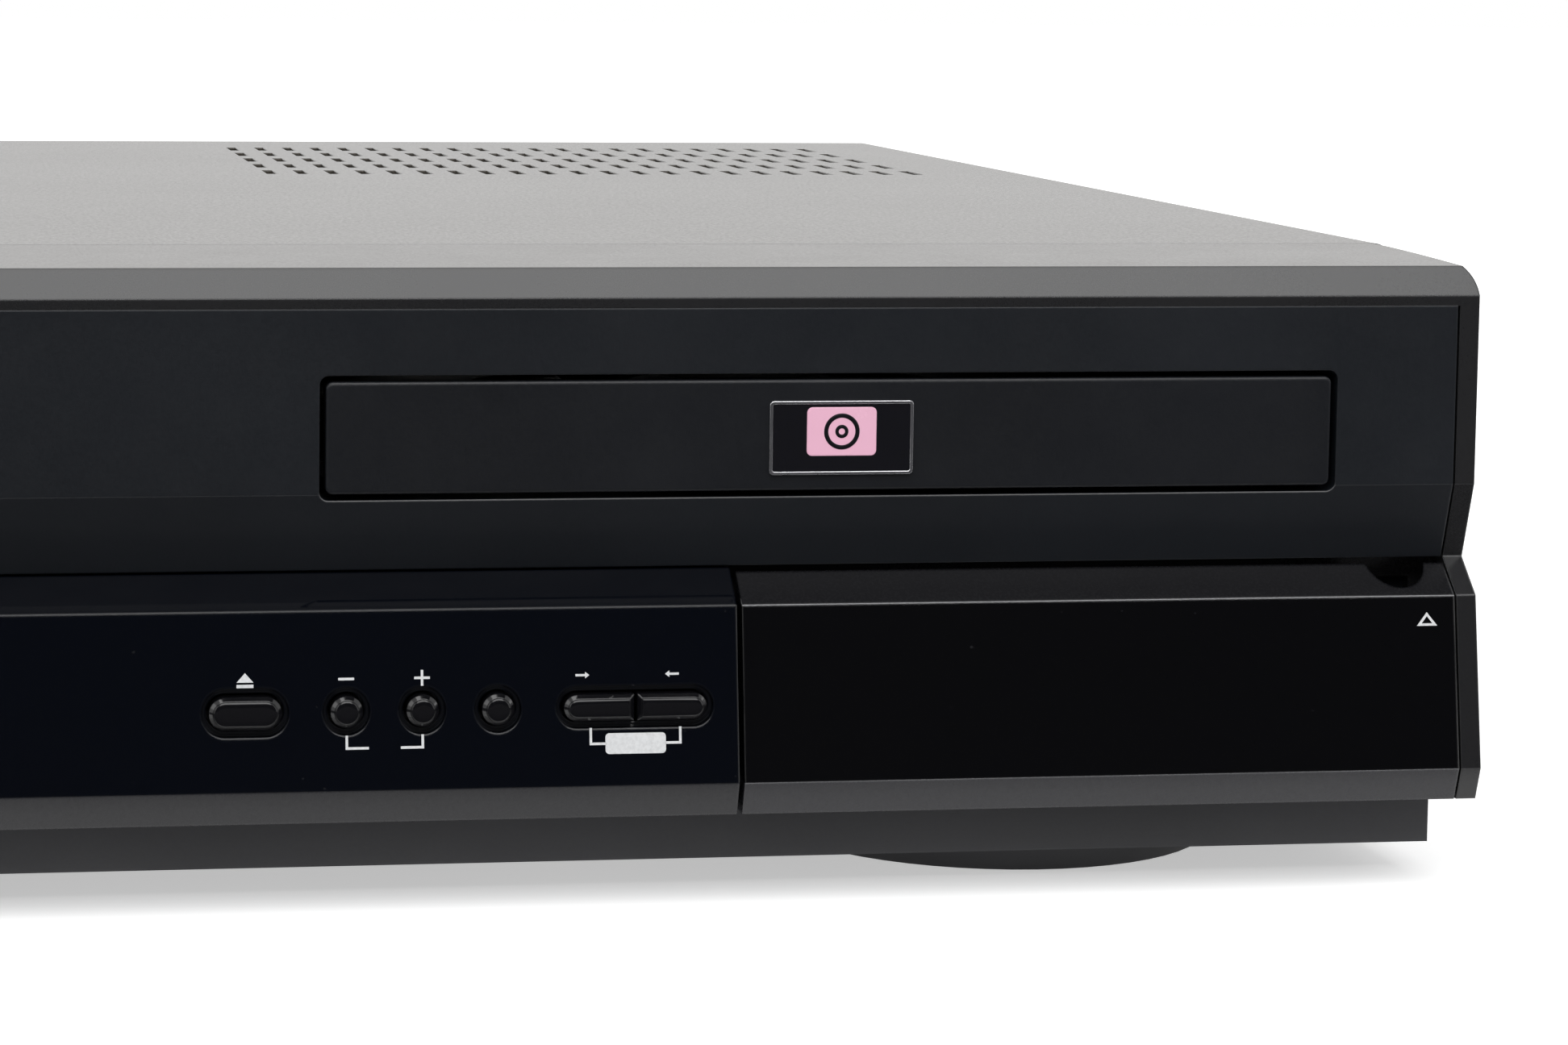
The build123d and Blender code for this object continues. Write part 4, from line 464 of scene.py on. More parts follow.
def make_finishes(colours, sizes):
    """Every finish by the record's slot name, and the socket rings' finishes by colour."""
    low, top = sizes.gloss_bottom, sizes.gloss_top
    made = {
        "cover_paint": speckled_paint("cover_paint_speckled", colours.cover, 0.24,
                                      case_box[0][1] + sizes.seam),
        "pan_paint": moulded("pan_paint_satin", colours.pan, 0.46, grain=1700.0),
        "zinc_steel": plated_sheet("zinc_plated_sheet", colours.zinc),
        # The strip, the upper panel and the tray front get a painted highlight on their up-turned edges;
        # the upper panel's stops below the lip.
        "bezel_plastic": moulded("front_moulding_satin", colours.bezel, 0.22, depth=0.004 * MM,
                                 polish=1.0, crest=(sizes.crest, colours.cover), smears=0.012),
        "fascia_plastic": moulded("upper_panel_satin", colours.fascia, 0.42, specular=0.4, polish=0.9,
                                  edge_highlight_below=sizes.lip),
        "tray_front": moulded("tray_front_satin", colours.tray_front, 0.42, specular=0.4, polish=0.9),
        # The window's satin is the toe colour darkened to 0.64: painted shade, a darker copy of the same
        # satin as the flap's toe.
        "window_gloss": gloss_front("control_window_lacquer", colours.window,
                                    scaled(colours.toe, 0.64), low, EVERYWHERE, top, 0.05),
        "flap_gloss": gloss_front("flap_lacquer", colours.flap, colours.toe, low, top, top, 1.0),
        "key_gloss": lacquered("key_lacquer", colours.keys, 0.05),
        "print_white": ink("white_print", colours.marks),
        "badge_silver": turned_metal("badge_silver_edge", colours.silver, 0.24),
        "badge_rose": lacquered("badge_rose_field", colours.rose, 0.2),
        "badge_ground": lacquered("badge_dark_ground", (0.004, 0.004, 0.006), 0.12),
        "foot_plastic": moulded("foot_plastic_matt", colours.foot, 0.58, grain=1400.0),
        "screw_black": turned_metal("blackened_screw", (0.10, 0.10, 0.105), 0.34),
        "board_green": circuit_board("green_circuit_board", colours.board),
        "socket_black": moulded("socket_plastic", (0.016, 0.016, 0.017), 0.40),
        "socket_metal": turned_metal("nickel_socket", (0.60, 0.59, 0.56), 0.22),
        "display_glass": lacquered("display_glass", (0.006, 0.010, 0.011), 0.05),
        "drum_metal": turned_metal("machined_drum", (0.66, 0.67, 0.68), 0.22, grooves=14.0),
        "shaft_steel": turned_metal("polished_steel", (0.62, 0.62, 0.61), 0.12),
        "reel_plastic": moulded("reel_acetal", colours.reels, 0.38, spread=0.05),
        "roller_rubber": rubbery("roller_rubber", (0.016, 0.016, 0.016)),
        "loader_plastic": moulded("loader_moulding", colours.loader, 0.42),
        "gear_plastic": moulded("gear_acetal", colours.gears, 0.36, spread=0.04),
    }
    for name in JACK_COLOURS:
        made[name] = moulded(f"{name}_insert", getattr(colours, name), 0.35, spread=0.05)
    return made


def finish_of(slot):
    """The finish made for a slot."""
    return bpy.data.materials[FINISH_NAMES[slot]]


# ---- shape helpers
LEAST_MITRE = 0.2
BEVEL_ANGLE, SHARP_ANGLE = math.radians(40), math.radians(35)
BEFORE_FRONT = -1.0


def arc(x, y, radius, start, end, steps):
    """Points on an arc, angles in degrees."""
    turns = [math.radians(start + (end - start) * step / steps) for step in range(steps + 1)]
    return [(x + radius * math.cos(turn), y + radius * math.sin(turn)) for turn in turns]


def panel(width, height, radius, steps=6):
    """The outline of a rectangle with round corners, about its middle."""
    x, y = width / 2 - radius, height / 2 - radius
    corners = ((x, y, 0), (-x, y, 90), (-x, -y, 180), (x, -y, 270))
    return [point for cx, cy, start in corners
            for point in arc(cx, cy, radius, start, start + 90, steps)]


def ring(radius, steps):
    """The points of a whole circle about the middle."""
    return arc(0.0, 0.0, radius, 0.0, 360.0, steps)[:-1]


def cross(long, thin):
    """The outline of an upright cross by half its length and half its thickness."""
    return [(long, thin), (thin, thin), (thin, long), (-thin, long), (-thin, thin), (-long, thin),
            (-long, -thin), (-thin, -thin), (-thin, -long), (thin, -long), (thin, -thin), (long, -thin)]


def stroked(points, width, closed=False):
    """Outer and inner side of a line of even width with mitred corners."""
    count = len(points)
    sides = ([], [])
    for number, (x, y) in enumerate(points):
        before = points[number - 1] if number or closed else None
        after = points[(number + 1) % count] if number < count - 1 or closed else None
        ways = [Vector((x - before[0], y - before[1])).normalized()] if before else []
        ways += [Vector((after[0] - x, after[1] - y)).normalized()] if after else []
        across = sum((Vector((-way.y, way.x)) for way in ways), Vector((0.0, 0.0))).normalized()
        reach = width / 2 / max(LEAST_MITRE, across.dot(Vector((-ways[0].y, ways[0].x))))
        sides[0].append((x + across.x * reach, y + across.y * reach))
        sides[1].append((x - across.x * reach, y - across.y * reach))
    return sides


def add_prism(mesh, seat, outline, low, high):
    """A flat plate of any outline on a seat, from low to high above it."""
    levels = [[mesh.verts.new(seat @ Vector((x, y, level))) for x, y in outline] for level in (low, high)]
    count = len(outline)
    mesh.faces.new(levels[1])
    mesh.faces.new(levels[0][::-1])
    for number in range(count):
        after = (number + 1) % count
        mesh.faces.new((levels[0][number], levels[0][after], levels[1][after], levels[1][number]))


def add_band(mesh, seat, outer, inner, low, high, closed=True):
    """A plate between two outlines with as many points, as a closed ring or an open line."""
    rows = [[mesh.verts.new(seat @ Vector((x, y, level))) for x, y in side]
            for side, level in ((outer, high), (inner, high), (inner, low), (outer, low))]
    count = len(outer)
    for number in range(count if closed else count - 1):
        after = (number + 1) % count
        for first, second in ((0, 1), (1, 2), (2, 3), (3, 0)):
            mesh.faces.new((rows[first][number], rows[first][after], rows[second][after],
                            rows[second][number]))
    if not closed:
        mesh.faces.new([row[0] for row in rows])
        mesh.faces.new([row[-1] for row in rows][::-1])


def add_turned(mesh, seat, profile, steps=40):
    """A turned piece from a (radius, height) profile; a radius of 0 closes an end."""
    rows = []
    for radius, level in profile:
        if radius == 0.0:
            rows.append([mesh.verts.new(seat @ Vector((0.0, 0.0, level)))])
        else:
            rows.append([mesh.verts.new(seat @ Vector((x, y, level)))
                         for x, y in ring(radius, steps)])
    for first, second in zip(rows, rows[1:]):
        for number in range(steps):
            after = (number + 1) % steps
            around = [first[number % len(first)], first[after % len(first)],
                      second[after % len(second)], second[number % len(second)]]
            mesh.faces.new(list(dict.fromkeys(around)))


def linked(name, data):
    """A new object in the scene."""
    piece = bpy.data.objects.new(name, data)
    bpy.context.scene.collection.objects.link(piece)
    return piece


def built(name, mesh):
    """A new object from a mesh under construction."""
    bmesh.ops.recalc_face_normals(mesh, faces=mesh.faces)
    data = bpy.data.meshes.new(name)
    mesh.to_mesh(data)
    mesh.free()
    return linked(name, data)


def finished_piece(name, mesh, slot, body, smooth=True, finish=None, bevel=0.0):
    """Turns a mesh under construction into a named piece that rides on a body."""
    piece = built(name, mesh)
    data = piece.data
    data.materials.append(finish_of(finish or slot))
    if bevel:
        edge = piece.modifiers.new("edge", "BEVEL")
        edge.width = bevel
        edge.segments = 2
        edge.limit_method = "ANGLE"
        edge.angle_limit = BEVEL_ANGLE
    if smooth:
        data.shade_smooth()
        data.set_sharp_from_angle(angle=SHARP_ANGLE)
    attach(piece, body)
    return piece


def seat_on(node, x, z):
    """A seat on a node's front, seen from the front: local X to the right, Z off the surface."""
    hit, point, normal, _ = NODES[node].ray_cast(Vector((x, BEFORE_FRONT, z)), Vector((0.0, 1.0, 0.0)))
    if not hit:
        raise RuntimeError(f"nothing of {node} lies behind x {x:.4f}, z {z:.4f}")
    across = Vector((1.0, 0.0, 0.0))
    up = normal.cross(across).normalized()
    seat = Matrix((across, up, normal)).transposed().to_4x4()
    seat.translation = point
    return seat


def solids_of(node):
    """Lowest and highest corner of each separate solid of a node."""
    data = NODES[node].data
    spots = [tuple(round(part, 6) for part in vertex.co) for vertex in data.vertices]
    owner = {spot: (spot,) for spot in spots}
    for polygon in data.polygons:
        touched = dict.fromkeys(owner[spots[number]] for number in polygon.vertices)
        if len(touched) > 1:
            whole = sum(touched, ())
            owner.update(dict.fromkeys(whole, whole))
    return [(Vector(map(min, zip(*solid))), Vector(map(max, zip(*solid))))
            for solid in dict.fromkeys(owner.values())]


def key_x(name):
    """The middle of a key, across the machine."""
    low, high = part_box(name)
    return (low.x + high.x) / 2


# ---- printed marks
PRINT_SINK = -0.01 * MM
PLATE_CORNER = 0.5 * MM


class MarkSheet:
    """One body's printed marks, gathered into one piece."""

    def __init__(self, node, sizes):
        self.mesh = bmesh.new()
        self.node = node
        self.sizes = sizes

    def at(self, x, z):
        return seat_on(self.node, x, z)

    def fill(self, seat, outline):
        add_prism(self.mesh, seat, outline, PRINT_SINK, self.sizes.print_height)

    def line(self, seat, points, closed=False):
        outer, inner = stroked(points, self.sizes.stroke, closed)
        add_band(self.mesh, seat, outer, inner, PRINT_SINK, self.sizes.print_height, closed)

    def eject(self, seat):
        wide = self.sizes.symbol
        self.fill(seat, [(-wide / 2, -wide * 0.12), (wide / 2, -wide * 0.12), (0.0, wide * 0.44)])
        self.fill(seat, [(-wide / 2, -wide * 0.44), (wide / 2, -wide * 0.44),
                         (wide / 2, -wide * 0.24), (-wide / 2, -wide * 0.24)])

    def minus(self, seat):
        wide = self.sizes.symbol * 0.95
        self.fill(seat, panel(wide, self.sizes.stroke, self.sizes.stroke * 0.2, 2))

    def plus(self, seat):
        self.fill(seat, cross(self.sizes.symbol * 0.47, self.sizes.stroke / 2))

    def arrow(self, seat, way):
        tip, thin = self.sizes.symbol * 0.42, self.sizes.stroke * 0.45
        head = tip * 0.62
        self.fill(seat, [(way * tip, 0.0), (way * (tip - head), head * 0.75), (way * (tip - head), thin),
                         (-way * tip, thin), (-way * tip, -thin), (way * (tip - head), -thin),
                         (way * (tip - head), -head * 0.75)])

    def play(self, seat):
        tall = self.sizes.symbol * 0.42
        self.fill(seat, [(-tall * 0.8, -tall), (tall, 0.0), (-tall * 0.8, tall)])

    def stop(self, seat):
        self.fill(seat, panel(self.sizes.symbol * 0.7, self.sizes.symbol * 0.7, 0.05 * MM, 2))

    def record(self, seat):
        self.fill(seat, ring(self.sizes.symbol * 0.36, 32))

    def power(self, seat):
        radius = self.sizes.symbol * 0.45
        self.line(seat, arc(0.0, 0.0, radius, 125.0, 415.0, 28))
        self.line(seat, [(0.0, radius * 0.1), (0.0, radius * 1.15)])

    def bracket(self, seat, start, end, rise):
        """A corner line: up at start, then across to end."""
        self.line(seat, [(start, rise), (start, 0.0), (end, 0.0)])

    def triangle(self, seat):
        wide = self.sizes.symbol
        self.line(seat, [(-wide / 2, -wide * 0.3), (wide / 2, -wide * 0.3), (0.0, wide * 0.34)], True)


class RECORDER_OT_window_marks(bpy.types.Operator):
    """Prints the symbols and group lines round the keys on the control window"""
    bl_idname = "recorder.window_marks"
    bl_label = "Marks on the control window"

    def execute(self, context):
        sizes = context.scene.recorder_sizes
        sheet = MarkSheet("control_window", sizes)
        above = sizes.key_row + sizes.mark_rise
        below = sizes.key_row - sizes.label_drop
        down, up = key_x("channel_down_button"), key_x("channel_up_button")
        to_disc, to_tape = key_x("copy_to_disc_button"), key_x("copy_to_tape_button")
        sheet.minus(sheet.at(down, above))
        sheet.plus(sheet.at(up, above))
        between, plate = sheet.at((down + up) / 2, below), sheet.at((to_disc + to_tape) / 2, below)
        sheet.fill(plate, panel(sizes.label_width, sizes.label_height, PLATE_CORNER))
        half, beside = (up - down) / 2, sizes.label_width / 2 - 0.1 * MM
        for side in (-1, 1):
            sheet.bracket(between, side * half, side * half * 0.42, sizes.pair_bracket)
            sheet.bracket(plate, side * sizes.label_reach, side * beside, sizes.label_bracket)
        sheet.arrow(sheet.at(to_disc - sizes.disc_arrow, above), 1)
        sheet.arrow(sheet.at(to_tape - sizes.tape_arrow, above), -1)
        sheet.power(sheet.at(key_x("power_button"), above + sizes.power_rise))
        for key, sign in (("open_close", sheet.eject), ("tape_eject", sheet.eject),
                          ("play", sheet.play), ("stop", sheet.stop), ("record", sheet.record)):
            sign(sheet.at(key_x(f"{key}_button"), above))
        finished_piece("window_marks", sheet.mesh, "print_white", "cabinet", smooth=False)
        return {"FINISHED"}


class RECORDER_OT_flap_mark(bpy.types.Operator):
    """Prints the small open triangle at the corner of the flap"""
    bl_idname = "recorder.flap_mark"
    bl_label = "Mark on the flap"

    def execute(self, context):
        sizes = context.scene.recorder_sizes
        sheet = MarkSheet("connector_flap", sizes)
        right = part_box("connector_flap")[1].x
        sheet.triangle(sheet.at(right - sizes.flap_mark_inset, sizes.flap_mark_height))
        finished_piece("flap_mark", sheet.mesh, "print_white", "connector_flap", smooth=False)
        return {"FINISHED"}


# ---- badge
SIGN_RINGS = ((2.3 * MM, 1.75 * MM), (0.85 * MM, 0.4 * MM))
BADGE_SINK = -0.02 * MM


class RECORDER_OT_badge(bpy.types.Operator):
    """Makes the framed plate on the tray's front, with a plain disc drawn on its field"""
    bl_idname = "recorder.badge"
    bl_label = "Badge on the tray"

    def execute(self, context):
        sizes = context.scene.recorder_sizes
        wide, tall, rim, rise = sizes.badge_width, sizes.badge_height, sizes.badge_frame, sizes.badge_rise
        low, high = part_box("tray_door")
        seat = seat_on("tray_door", (low.x + high.x) / 2 + sizes.badge_right,
                       (low.z + high.z) / 2 - sizes.badge_drop)
        raised = seat @ Matrix.Translation((0.0, sizes.field_lift, 0.0))
        ground, edge, field, sign = (bmesh.new() for _ in range(4))
        add_prism(ground, seat, panel(wide - rim, tall - rim, 0.3 * MM), BADGE_SINK, rise * 0.7)
        add_band(edge, seat, panel(wide, tall, 0.55 * MM),
                 panel(wide - 2 * rim, tall - 2 * rim, 0.25 * MM), BADGE_SINK, rise)
        top = rise * 0.95
        add_prism(field, raised, panel(sizes.field_width, sizes.field_height, 0.7 * MM),
                  0.1 * MM, top)
        for outer, inner in SIGN_RINGS:
            add_band(sign, raised, ring(outer, 48), ring(inner, 48), top + BADGE_SINK, top + 0.03 * MM)
        finished_piece("badge_ground", ground, "display_glass", "disc_tray", finish="badge_ground")
        finished_piece("badge_edge", edge, "badge_silver", "disc_tray", bevel=0.08 * MM)
        finished_piece("badge_field", field, "badge_rose", "disc_tray", bevel=0.06 * MM)
        finished_piece("badge_disc_sign", sign, "display_glass", "disc_tray", finish="badge_ground")
        return {"FINISHED"}


# ---- phono sockets
def facing(x, y, z, way):
    """A seat at a point whose local Z looks along way in Y."""
    turn = Matrix.Rotation(math.radians(90 if way < 0 else -90), 4, "X")
    return Matrix.Translation((x, y, z)) @ turn


class RECORDER_OT_phono_sockets(bpy.types.Operator):
    """Makes the phono sockets, front and rear: nickel sleeve, coloured ring, contact and body"""
    bl_idname = "recorder.phono_sockets"
    bl_label = "Phono sockets"

    def execute(self, context):
        sizes = context.scene.recorder_sizes
        rings = {name: bmesh.new() for name in JACK_COLOURS}
        for node, way in (("front_rca_jacks", -1), ("rear_rca_jacks", 1)):
            sleeves, bodies = bmesh.new(), bmesh.new()
            boxes = sorted(solids_of(node), key=lambda box: (round(box[0].x, 3), -box[0].z))
            for number, (low, high) in enumerate(boxes):
                middle, wide, total = (low + high) / 2, high.x - low.x, high.y - low.y
                seat = facing(middle.x, low.y if way < 0 else high.y, middle.z, way)
                colours = rings[JACK_COLOURS[number % len(JACK_COLOURS)]]
                self.socket(sizes, seat, sleeves, colours, wide - total)
                add_prism(bodies, seat, panel(wide, wide, 0.4 * MM), -total, wide - total)
            piece = finished_piece(f"{node}_sleeves", sleeves, "socket_metal", "cabinet")
            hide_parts(node)
            finished_piece(f"{node}_bodies", bodies, "socket_black", "cabinet", smooth=False)
        for name, mesh in rings.items():
            finished_piece(f"phono_ring_{name}", mesh, "socket_black", "cabinet", finish=name)
        return {"FINISHED"}

    def socket(self, sizes, seat, sleeves, rings, foot):
        """Sleeve, contact and coloured ring by their profiles, foot being the sleeve's far end."""
        outer, bore = sizes.jack_radius, sizes.jack_bore
        lip, contact = outer - 0.6 * MM, bore - 0.3 * MM
        sleeve = [(outer, foot), (outer, -0.2 * MM), (outer - 0.15 * MM, 0.0), (lip, 0.0), (lip, -1.1 * MM)]
        centre = [(bore, -1.3 * MM), (contact, -1.3 * MM), (contact, foot), (0.0, foot)]
        collar = [(lip, -0.8 * MM), (bore + 0.7 * MM, -0.8 * MM), (bore + 0.6 * MM, -0.5 * MM),
                  (bore + 0.2 * MM, -0.45 * MM), (bore, -0.6 * MM), (bore, -1.4 * MM)]
        for mesh, profile in ((sleeves, sleeve), (sleeves, centre), (rings, collar)):
            add_turned(mesh, seat, profile)


# ---- keys
CROWN_RINGS = 8
CROWN_ROUNDING = 0.6
LEAST_TURN = 0.5
FACES_FRONT = -0.999


def outline_of(points):
    """The hull round some points, anticlockwise."""
    spots = sorted(set((round(x, 7), round(z, 7)) for x, z in points))

    def chain(given):
        kept = []
        for spot in given:
            while len(kept) > 1 and ((kept[-1][0] - kept[-2][0]) * (spot[1] - kept[-2][1])
                                     - (kept[-1][1] - kept[-2][1]) * (spot[0] - kept[-2][0])) <= 0:
                kept.pop()
            kept.append(spot)
        return kept[:-1]

    return chain(spots) + chain(spots[::-1])


def drawn_in(rim, middle, inset):
    """A convex outline moved inwards, its points kept on their own sides."""
    count = len(rim)
    moved = []
    for number, (x, z) in enumerate(rim):
        before, after = Vector(rim[number - 1]), Vector(rim[(number + 1) % count])
        here = Vector((x, z))
        ways = [(here - before).normalized(), (after - here).normalized()]
        inward = sum((Vector((-way.y, way.x)) for way in ways), Vector((0.0, 0.0))).normalized()
        reach = inset / max(LEAST_TURN, inward.dot(Vector((-ways[0].y, ways[0].x))))
        moved.append(tuple(here + inward * min(reach, (middle - here).length)))
    return moved


def node_body(node):
    """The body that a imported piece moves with."""
    bodies = frame["record"]["behaviour"]["bodies"]
    return next(body for body, nodes in bodies.items() if node in nodes)


class RECORDER_OT_key_crowns(bpy.types.Operator):
    """Makes the polished crown that domes each key's cap"""
    bl_idname = "recorder.key_crowns"
    bl_label = "Key crowns"

    def execute(self, context):
        sizes = context.scene.recorder_sizes
        for key in (node for node in NODES if node.endswith("_button")):
            data, level = NODES[key].data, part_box(key)[0].y
            front = [polygon for polygon in data.polygons
                     if polygon.normal.y < FACES_FRONT and polygon.center.y < level + 0.01 * MM]
            points = [data.vertices[number].co for polygon in front for number in polygon.vertices]
            if not points:
                raise RuntimeError(f"{key} has no flat cap")
            rim = outline_of([(point.x, point.z) for point in points])
            middle = Vector((sum(x for x, _ in rim) / len(rim), sum(z for _, z in rim) / len(rim)))
            reach = min(max(side) - min(side) for side in zip(*rim)) / 2
            crown = bmesh.new()
            rings = []
            for step in range(CROWN_RINGS + 1):
                turn = math.radians(90 * step / CROWN_RINGS)
                inset = reach * (1 - math.cos(turn)) * CROWN_ROUNDING
                rise = sizes.crown * math.sin(turn) if step else -0.02 * MM
                rings.append([crown.verts.new((x, level - rise, z))
                              for x, z in drawn_in(rim, middle, inset)])
            for first, second in zip(rings, rings[1:]):
                for number in range(len(rim)):
                    after = (number + 1) % len(rim)
                    crown.faces.new((first[number], first[after], second[after], second[number]))
            crown.faces.new(rings[-1])
            crown.faces.new(rings[0][::-1])
            finished_piece(f"{key}_crown", crown, "key_gloss", node_body(key))
        return {"FINISHED"}


# ---- screws
class RECORDER_OT_screw_heads(bpy.types.Operator):
    """Makes the cover screws with domed heads and cross recesses"""
    bl_idname = "recorder.screw_heads"
    bl_label = "Cover screws"

    def execute(self, context):
        screws, cutters = bmesh.new(), bmesh.new()
        radius, shank = context.scene.recorder_sizes.screw_radius, 1.4 * MM
        profile = [(0.0, 0.0), (radius * 0.55, -0.08 * MM), (radius * 0.86, -0.35 * MM),
                   (radius, -0.8 * MM), (radius, -1.3 * MM), (shank, -1.3 * MM), (shank, -5.6 * MM),
                   (0.0, -6.3 * MM)]
        for low, high in solids_of("cover_screws"):
            seat = self.head_seat(low, high)
            add_turned(screws, seat, profile, 32)
            add_prism(cutters, seat, cross(radius * 0.5, radius * 0.11), -1.0 * MM, 0.4 * MM)
        cutter = built("cross_cutter", cutters)
        piece = finished_piece("cover_screws_crossed", screws, "screw_black", "cabinet")
        cut = piece.modifiers.new("recess", "BOOLEAN")
        cut.operation = "DIFFERENCE"
        cut.object = cutter
        graph = context.evaluated_depsgraph_get()
        carved = bpy.data.meshes.new_from_object(piece.evaluated_get(graph))
        piece.modifiers.clear()
        piece.data = carved
        carved.set_sharp_from_angle(angle=SHARP_ANGLE)
        bpy.data.objects.remove(cutter)
        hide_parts("cover_screws")
        return {"FINISHED"}

    def head_seat(self, low, high):
        """A seat on top of a screw's head, which looks to the rear or to its own side."""
        middle = (low + high) / 2
        if high.y - low.y < high.x - low.x:
            return facing(middle.x, high.y, middle.z, 1)
        side = 1 if middle.x > 0 else -1
        return (Matrix.Translation((high.x if side > 0 else low.x, middle.y, middle.z))
                @ Matrix.Rotation(math.radians(90 * side), 4, "Y"))


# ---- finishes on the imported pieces
class RECORDER_OT_finishes(bpy.types.Operator):
    """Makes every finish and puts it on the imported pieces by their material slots"""
    bl_idname = "recorder.finishes"
    bl_label = "Finishes"

    def execute(self, context):
        made = make_finishes(context.scene.recorder_colours, context.scene.recorder_sizes)
        FINISH_NAMES.update({slot: material.name for slot, material in made.items()})
        slots = {part["node"]: part["material_slot"] for part in frame["record"]["subparts"]}
        for node, piece in NODES.items():
            if not piece.material_slots:
                raise RuntimeError(f"{node} has no material slot")
            for place in piece.material_slots:
                place.material = made["tray_front" if node == "tray_door" else slots[node]]
        return {"FINISHED"}


# ---- studio
WHITE = (1.0, 1.0, 1.0, 1.0)
FLOOR_TONE = (0.86, 0.86, 0.86, 1.0)
SHADOW_REACH, WHITE_FROM = 0.30, 0.95
CLOTH_TONE = (0.03, 0.03, 0.034)
CLOTH_NEAR, CLOTH_FAR, CLOTH_LOW, CLOTH_BEND, CLOTH_TOP = -0.185, -2.6, 0.002, 0.5, 2.2
CLOTH_HALF, CLOTH_STEPS = 3.0, 8
CANOPY_HALF, CANOPY = 1.0, [(-0.42, 1.2), (0.5, 1.2)]
SENSOR_WIDTH = 36.0


def stage_object(name, data, material=None):
    """A studio object, which isn't part of the recorder."""
    piece = linked(name, data)
    if material:
        data.materials.append(material)
    return piece


def floor_material(glow):
    """A pale floor that reaches white where nothing shades it and keeps the recorder's shadow."""
    floor = Finish("studio_floor", "ShaderNodeBsdfDiffuse")
    distance = floor.add("ShaderNodeVectorMath", Vector=floor.place)
    distance.operation = "LENGTH"
    fade = floor.span(distance.outputs["Value"], SHADOW_REACH, WHITE_FROM, glow, 1.0)
    fade.node.interpolation_type = "SMOOTHSTEP"
    light = floor.add("ShaderNodeEmission", Strength=floor.times(floor.seen_directly(), fade))
    both = floor.add("ShaderNodeAddShader")
    for socket, shader in zip(both.inputs, (floor.shader, light)):
        floor.set(socket, shader.outputs[0])
    floor.set(floor.output.inputs["Surface"], both.outputs[0])
    floor.set(floor.shader.inputs["Color"], FLOOR_TONE)
    return floor.material


def hang_cloth(name, half, profile):
    """A dull black cloth along a (y, z) profile that only reflections show."""
    cloth = bpy.data.meshes.new(name)
    rows = range(0, 2 * len(profile) - 2, 2)
    cloth.from_pydata([(side * half, y, z) for y, z in profile for side in (-1, 1)], [],
                      [(row, row + 1, row + 3, row + 2) for row in rows])
    hung = stage_object(name, cloth, Finish("black_cloth").paint(CLOTH_TONE, 0.9))
    hung.visible_camera = hung.visible_diffuse = hung.visible_shadow = False


def soft_box(name, place, aim, wide, tall, power):
    """An area lamp that looks at a point."""
    lamp = bpy.data.lights.new(name, "AREA")
    lamp.shape = "RECTANGLE"
    lamp.size, lamp.size_y, lamp.energy = wide, tall, power
    box = stage_object(name, lamp)
    box.location = place
    box.rotation_mode = "QUATERNION"
    box.rotation_quaternion = (Vector(place) - Vector(aim)).to_track_quat("Z", "Y")


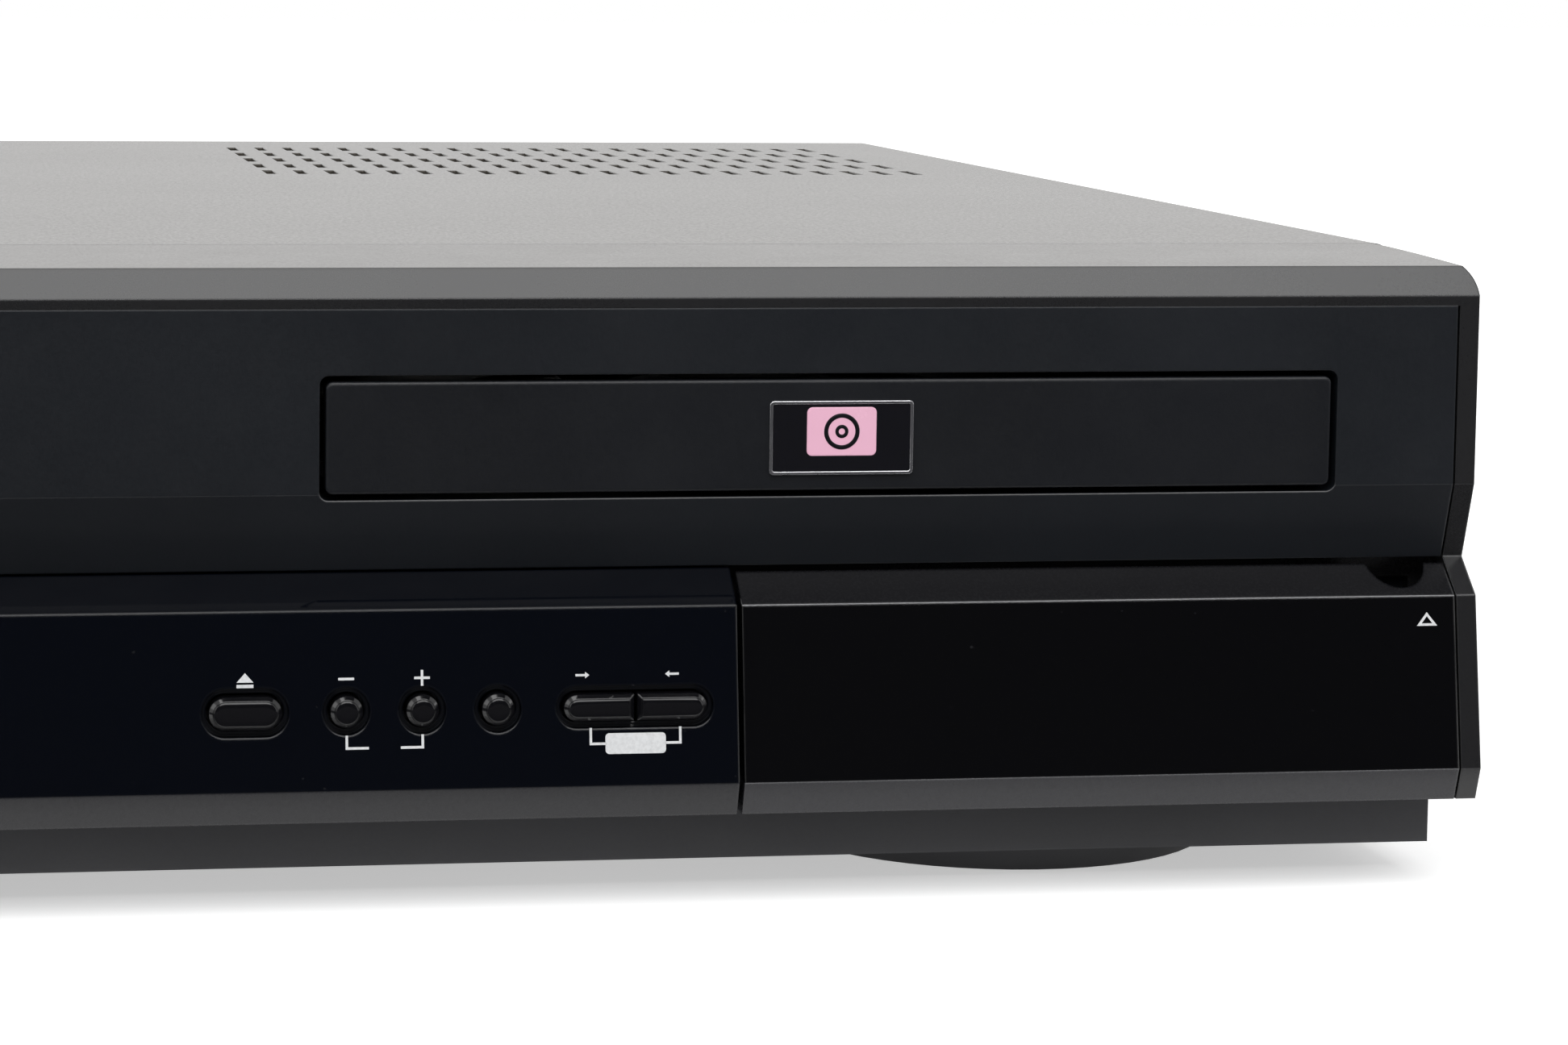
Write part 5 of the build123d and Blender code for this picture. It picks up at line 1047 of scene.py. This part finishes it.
class RECORDER_OT_stage(bpy.types.Operator):
    """Makes the floor, the white surroundings, the soft boxes, the black cloths and the camera"""
    bl_idname = "recorder.stage"
    bl_label = "Studio"

    def execute(self, context):
        studio = context.scene.recorder_studio
        self.surroundings(context, studio)
        self.lamps(studio)
        self.cloths()
        self.camera(context, studio)
        context.scene.view_settings.view_transform = "Standard"
        return {"FINISHED"}

    def surroundings(self, context, studio):
        half = studio.floor_size / 2
        ground = bpy.data.meshes.new("floor")
        ground.from_pydata([(-half, -half, 0), (half, -half, 0), (half, half, 0), (-half, half, 0)], [],
                           [(0, 1, 2, 3)])
        stage_object("floor", ground, floor_material(studio.floor_light))
        world = context.scene.world or bpy.data.worlds.new("studio")
        context.scene.world = world
        world.use_nodes = True
        nodes = Nodes(world.node_tree)
        level = nodes.span(nodes.seen_directly(), 0.0, 1.0, studio.room, 1.0)
        light = nodes.add("ShaderNodeBackground", Color=WHITE, Strength=level)
        nodes.add("ShaderNodeOutputWorld", Surface=light.outputs[0])

    def lamps(self, studio):
        soft_box("overhead_box", (0.1, -1.15, 1.45), (0.05, -0.25, 0.05), 1.8, 1.5, studio.overhead)
        soft_box("left_box", (-1.5, -0.7, 0.9), (0.0, 0.0, 0.05), 0.8, 0.8, studio.side)
        soft_box("right_box", (1.5, 0.2, 0.8), (0.1, 0.0, 0.05), 0.8, 0.8, studio.side)

    def cloths(self):
        """One cloth lies before the recorder and bends up behind the camera, one hangs over it."""
        start = CLOTH_FAR + CLOTH_BEND
        bend = arc(start, CLOTH_LOW + CLOTH_BEND, CLOTH_BEND, -90, -180, CLOTH_STEPS)
        hang_cloth("black_cloth", CLOTH_HALF,
                   [(CLOTH_NEAR, CLOTH_LOW), (start, CLOTH_LOW), *bend[1:], (CLOTH_FAR, CLOTH_TOP)])
        hang_cloth("black_canopy", CANOPY_HALF, CANOPY)

    def camera(self, context, studio):
        forward = Vector((math.sin(studio.yaw) * math.cos(studio.pitch),
                          math.cos(studio.yaw) * math.cos(studio.pitch), -math.sin(studio.pitch)))
        level = Vector((math.cos(studio.yaw), -math.sin(studio.yaw), 0.0))
        right = math.cos(studio.roll) * level + math.sin(studio.roll) * forward.cross(level)
        body = bpy.data.cameras.new("camera")
        body.lens, body.sensor_width = studio.lens, SENSOR_WIDTH
        body.shift_x, body.shift_y = studio.shift_x, studio.shift_y
        body.clip_start, body.clip_end = 0.01, 100.0
        eye = stage_object("camera", body)
        eye.rotation_mode = "QUATERNION"
        turned = Matrix((right, right.cross(forward), -forward)).transposed()
        eye.rotation_quaternion = turned.to_quaternion()
        eye.location = studio.camera_place
        context.scene.camera = eye


# ---- panel and registration
class RECORDER_PT_panel(bpy.types.Panel):
    """Lists the recorder's steps and what can be changed"""
    bl_idname = "RECORDER_PT_panel"
    bl_label = "Recorder"
    bl_space_type = "VIEW_3D"
    bl_region_type = "UI"
    bl_category = "Recorder"

    def draw(self, context):
        for step in STEPS:
            self.layout.operator(step.bl_idname)
        for group, kind in GROUPS.items():
            box = self.layout.box()
            for name in kind.__annotations__:
                box.prop(getattr(context.scene, group), name)


STEPS = (
    RECORDER_OT_finishes,
    RECORDER_OT_stage,
    RECORDER_OT_window_marks,
    RECORDER_OT_flap_mark,
    RECORDER_OT_badge,
    RECORDER_OT_key_crowns,
    RECORDER_OT_phono_sockets,
    RECORDER_OT_screw_heads,
)
GROUPS = {"recorder_colours": RecorderColours, "recorder_sizes": RecorderSizes,
          "recorder_studio": RecorderStudio}
CLASSES = (*GROUPS.values(), *STEPS, RECORDER_PT_panel)


def register():
    for kind in CLASSES:
        bpy.utils.register_class(kind)
    for name, kind in GROUPS.items():
        setattr(bpy.types.Scene, name, bpy.props.PointerProperty(type=kind))


def unregister():
    for name in GROUPS:
        delattr(bpy.types.Scene, name)
    for kind in reversed(CLASSES):
        bpy.utils.unregister_class(kind)


def main():
    register()
    for step in STEPS:
        area, name = step.bl_idname.split(".")
        getattr(getattr(bpy.ops, area), name)()


if __name__ == "__main__":
    main()
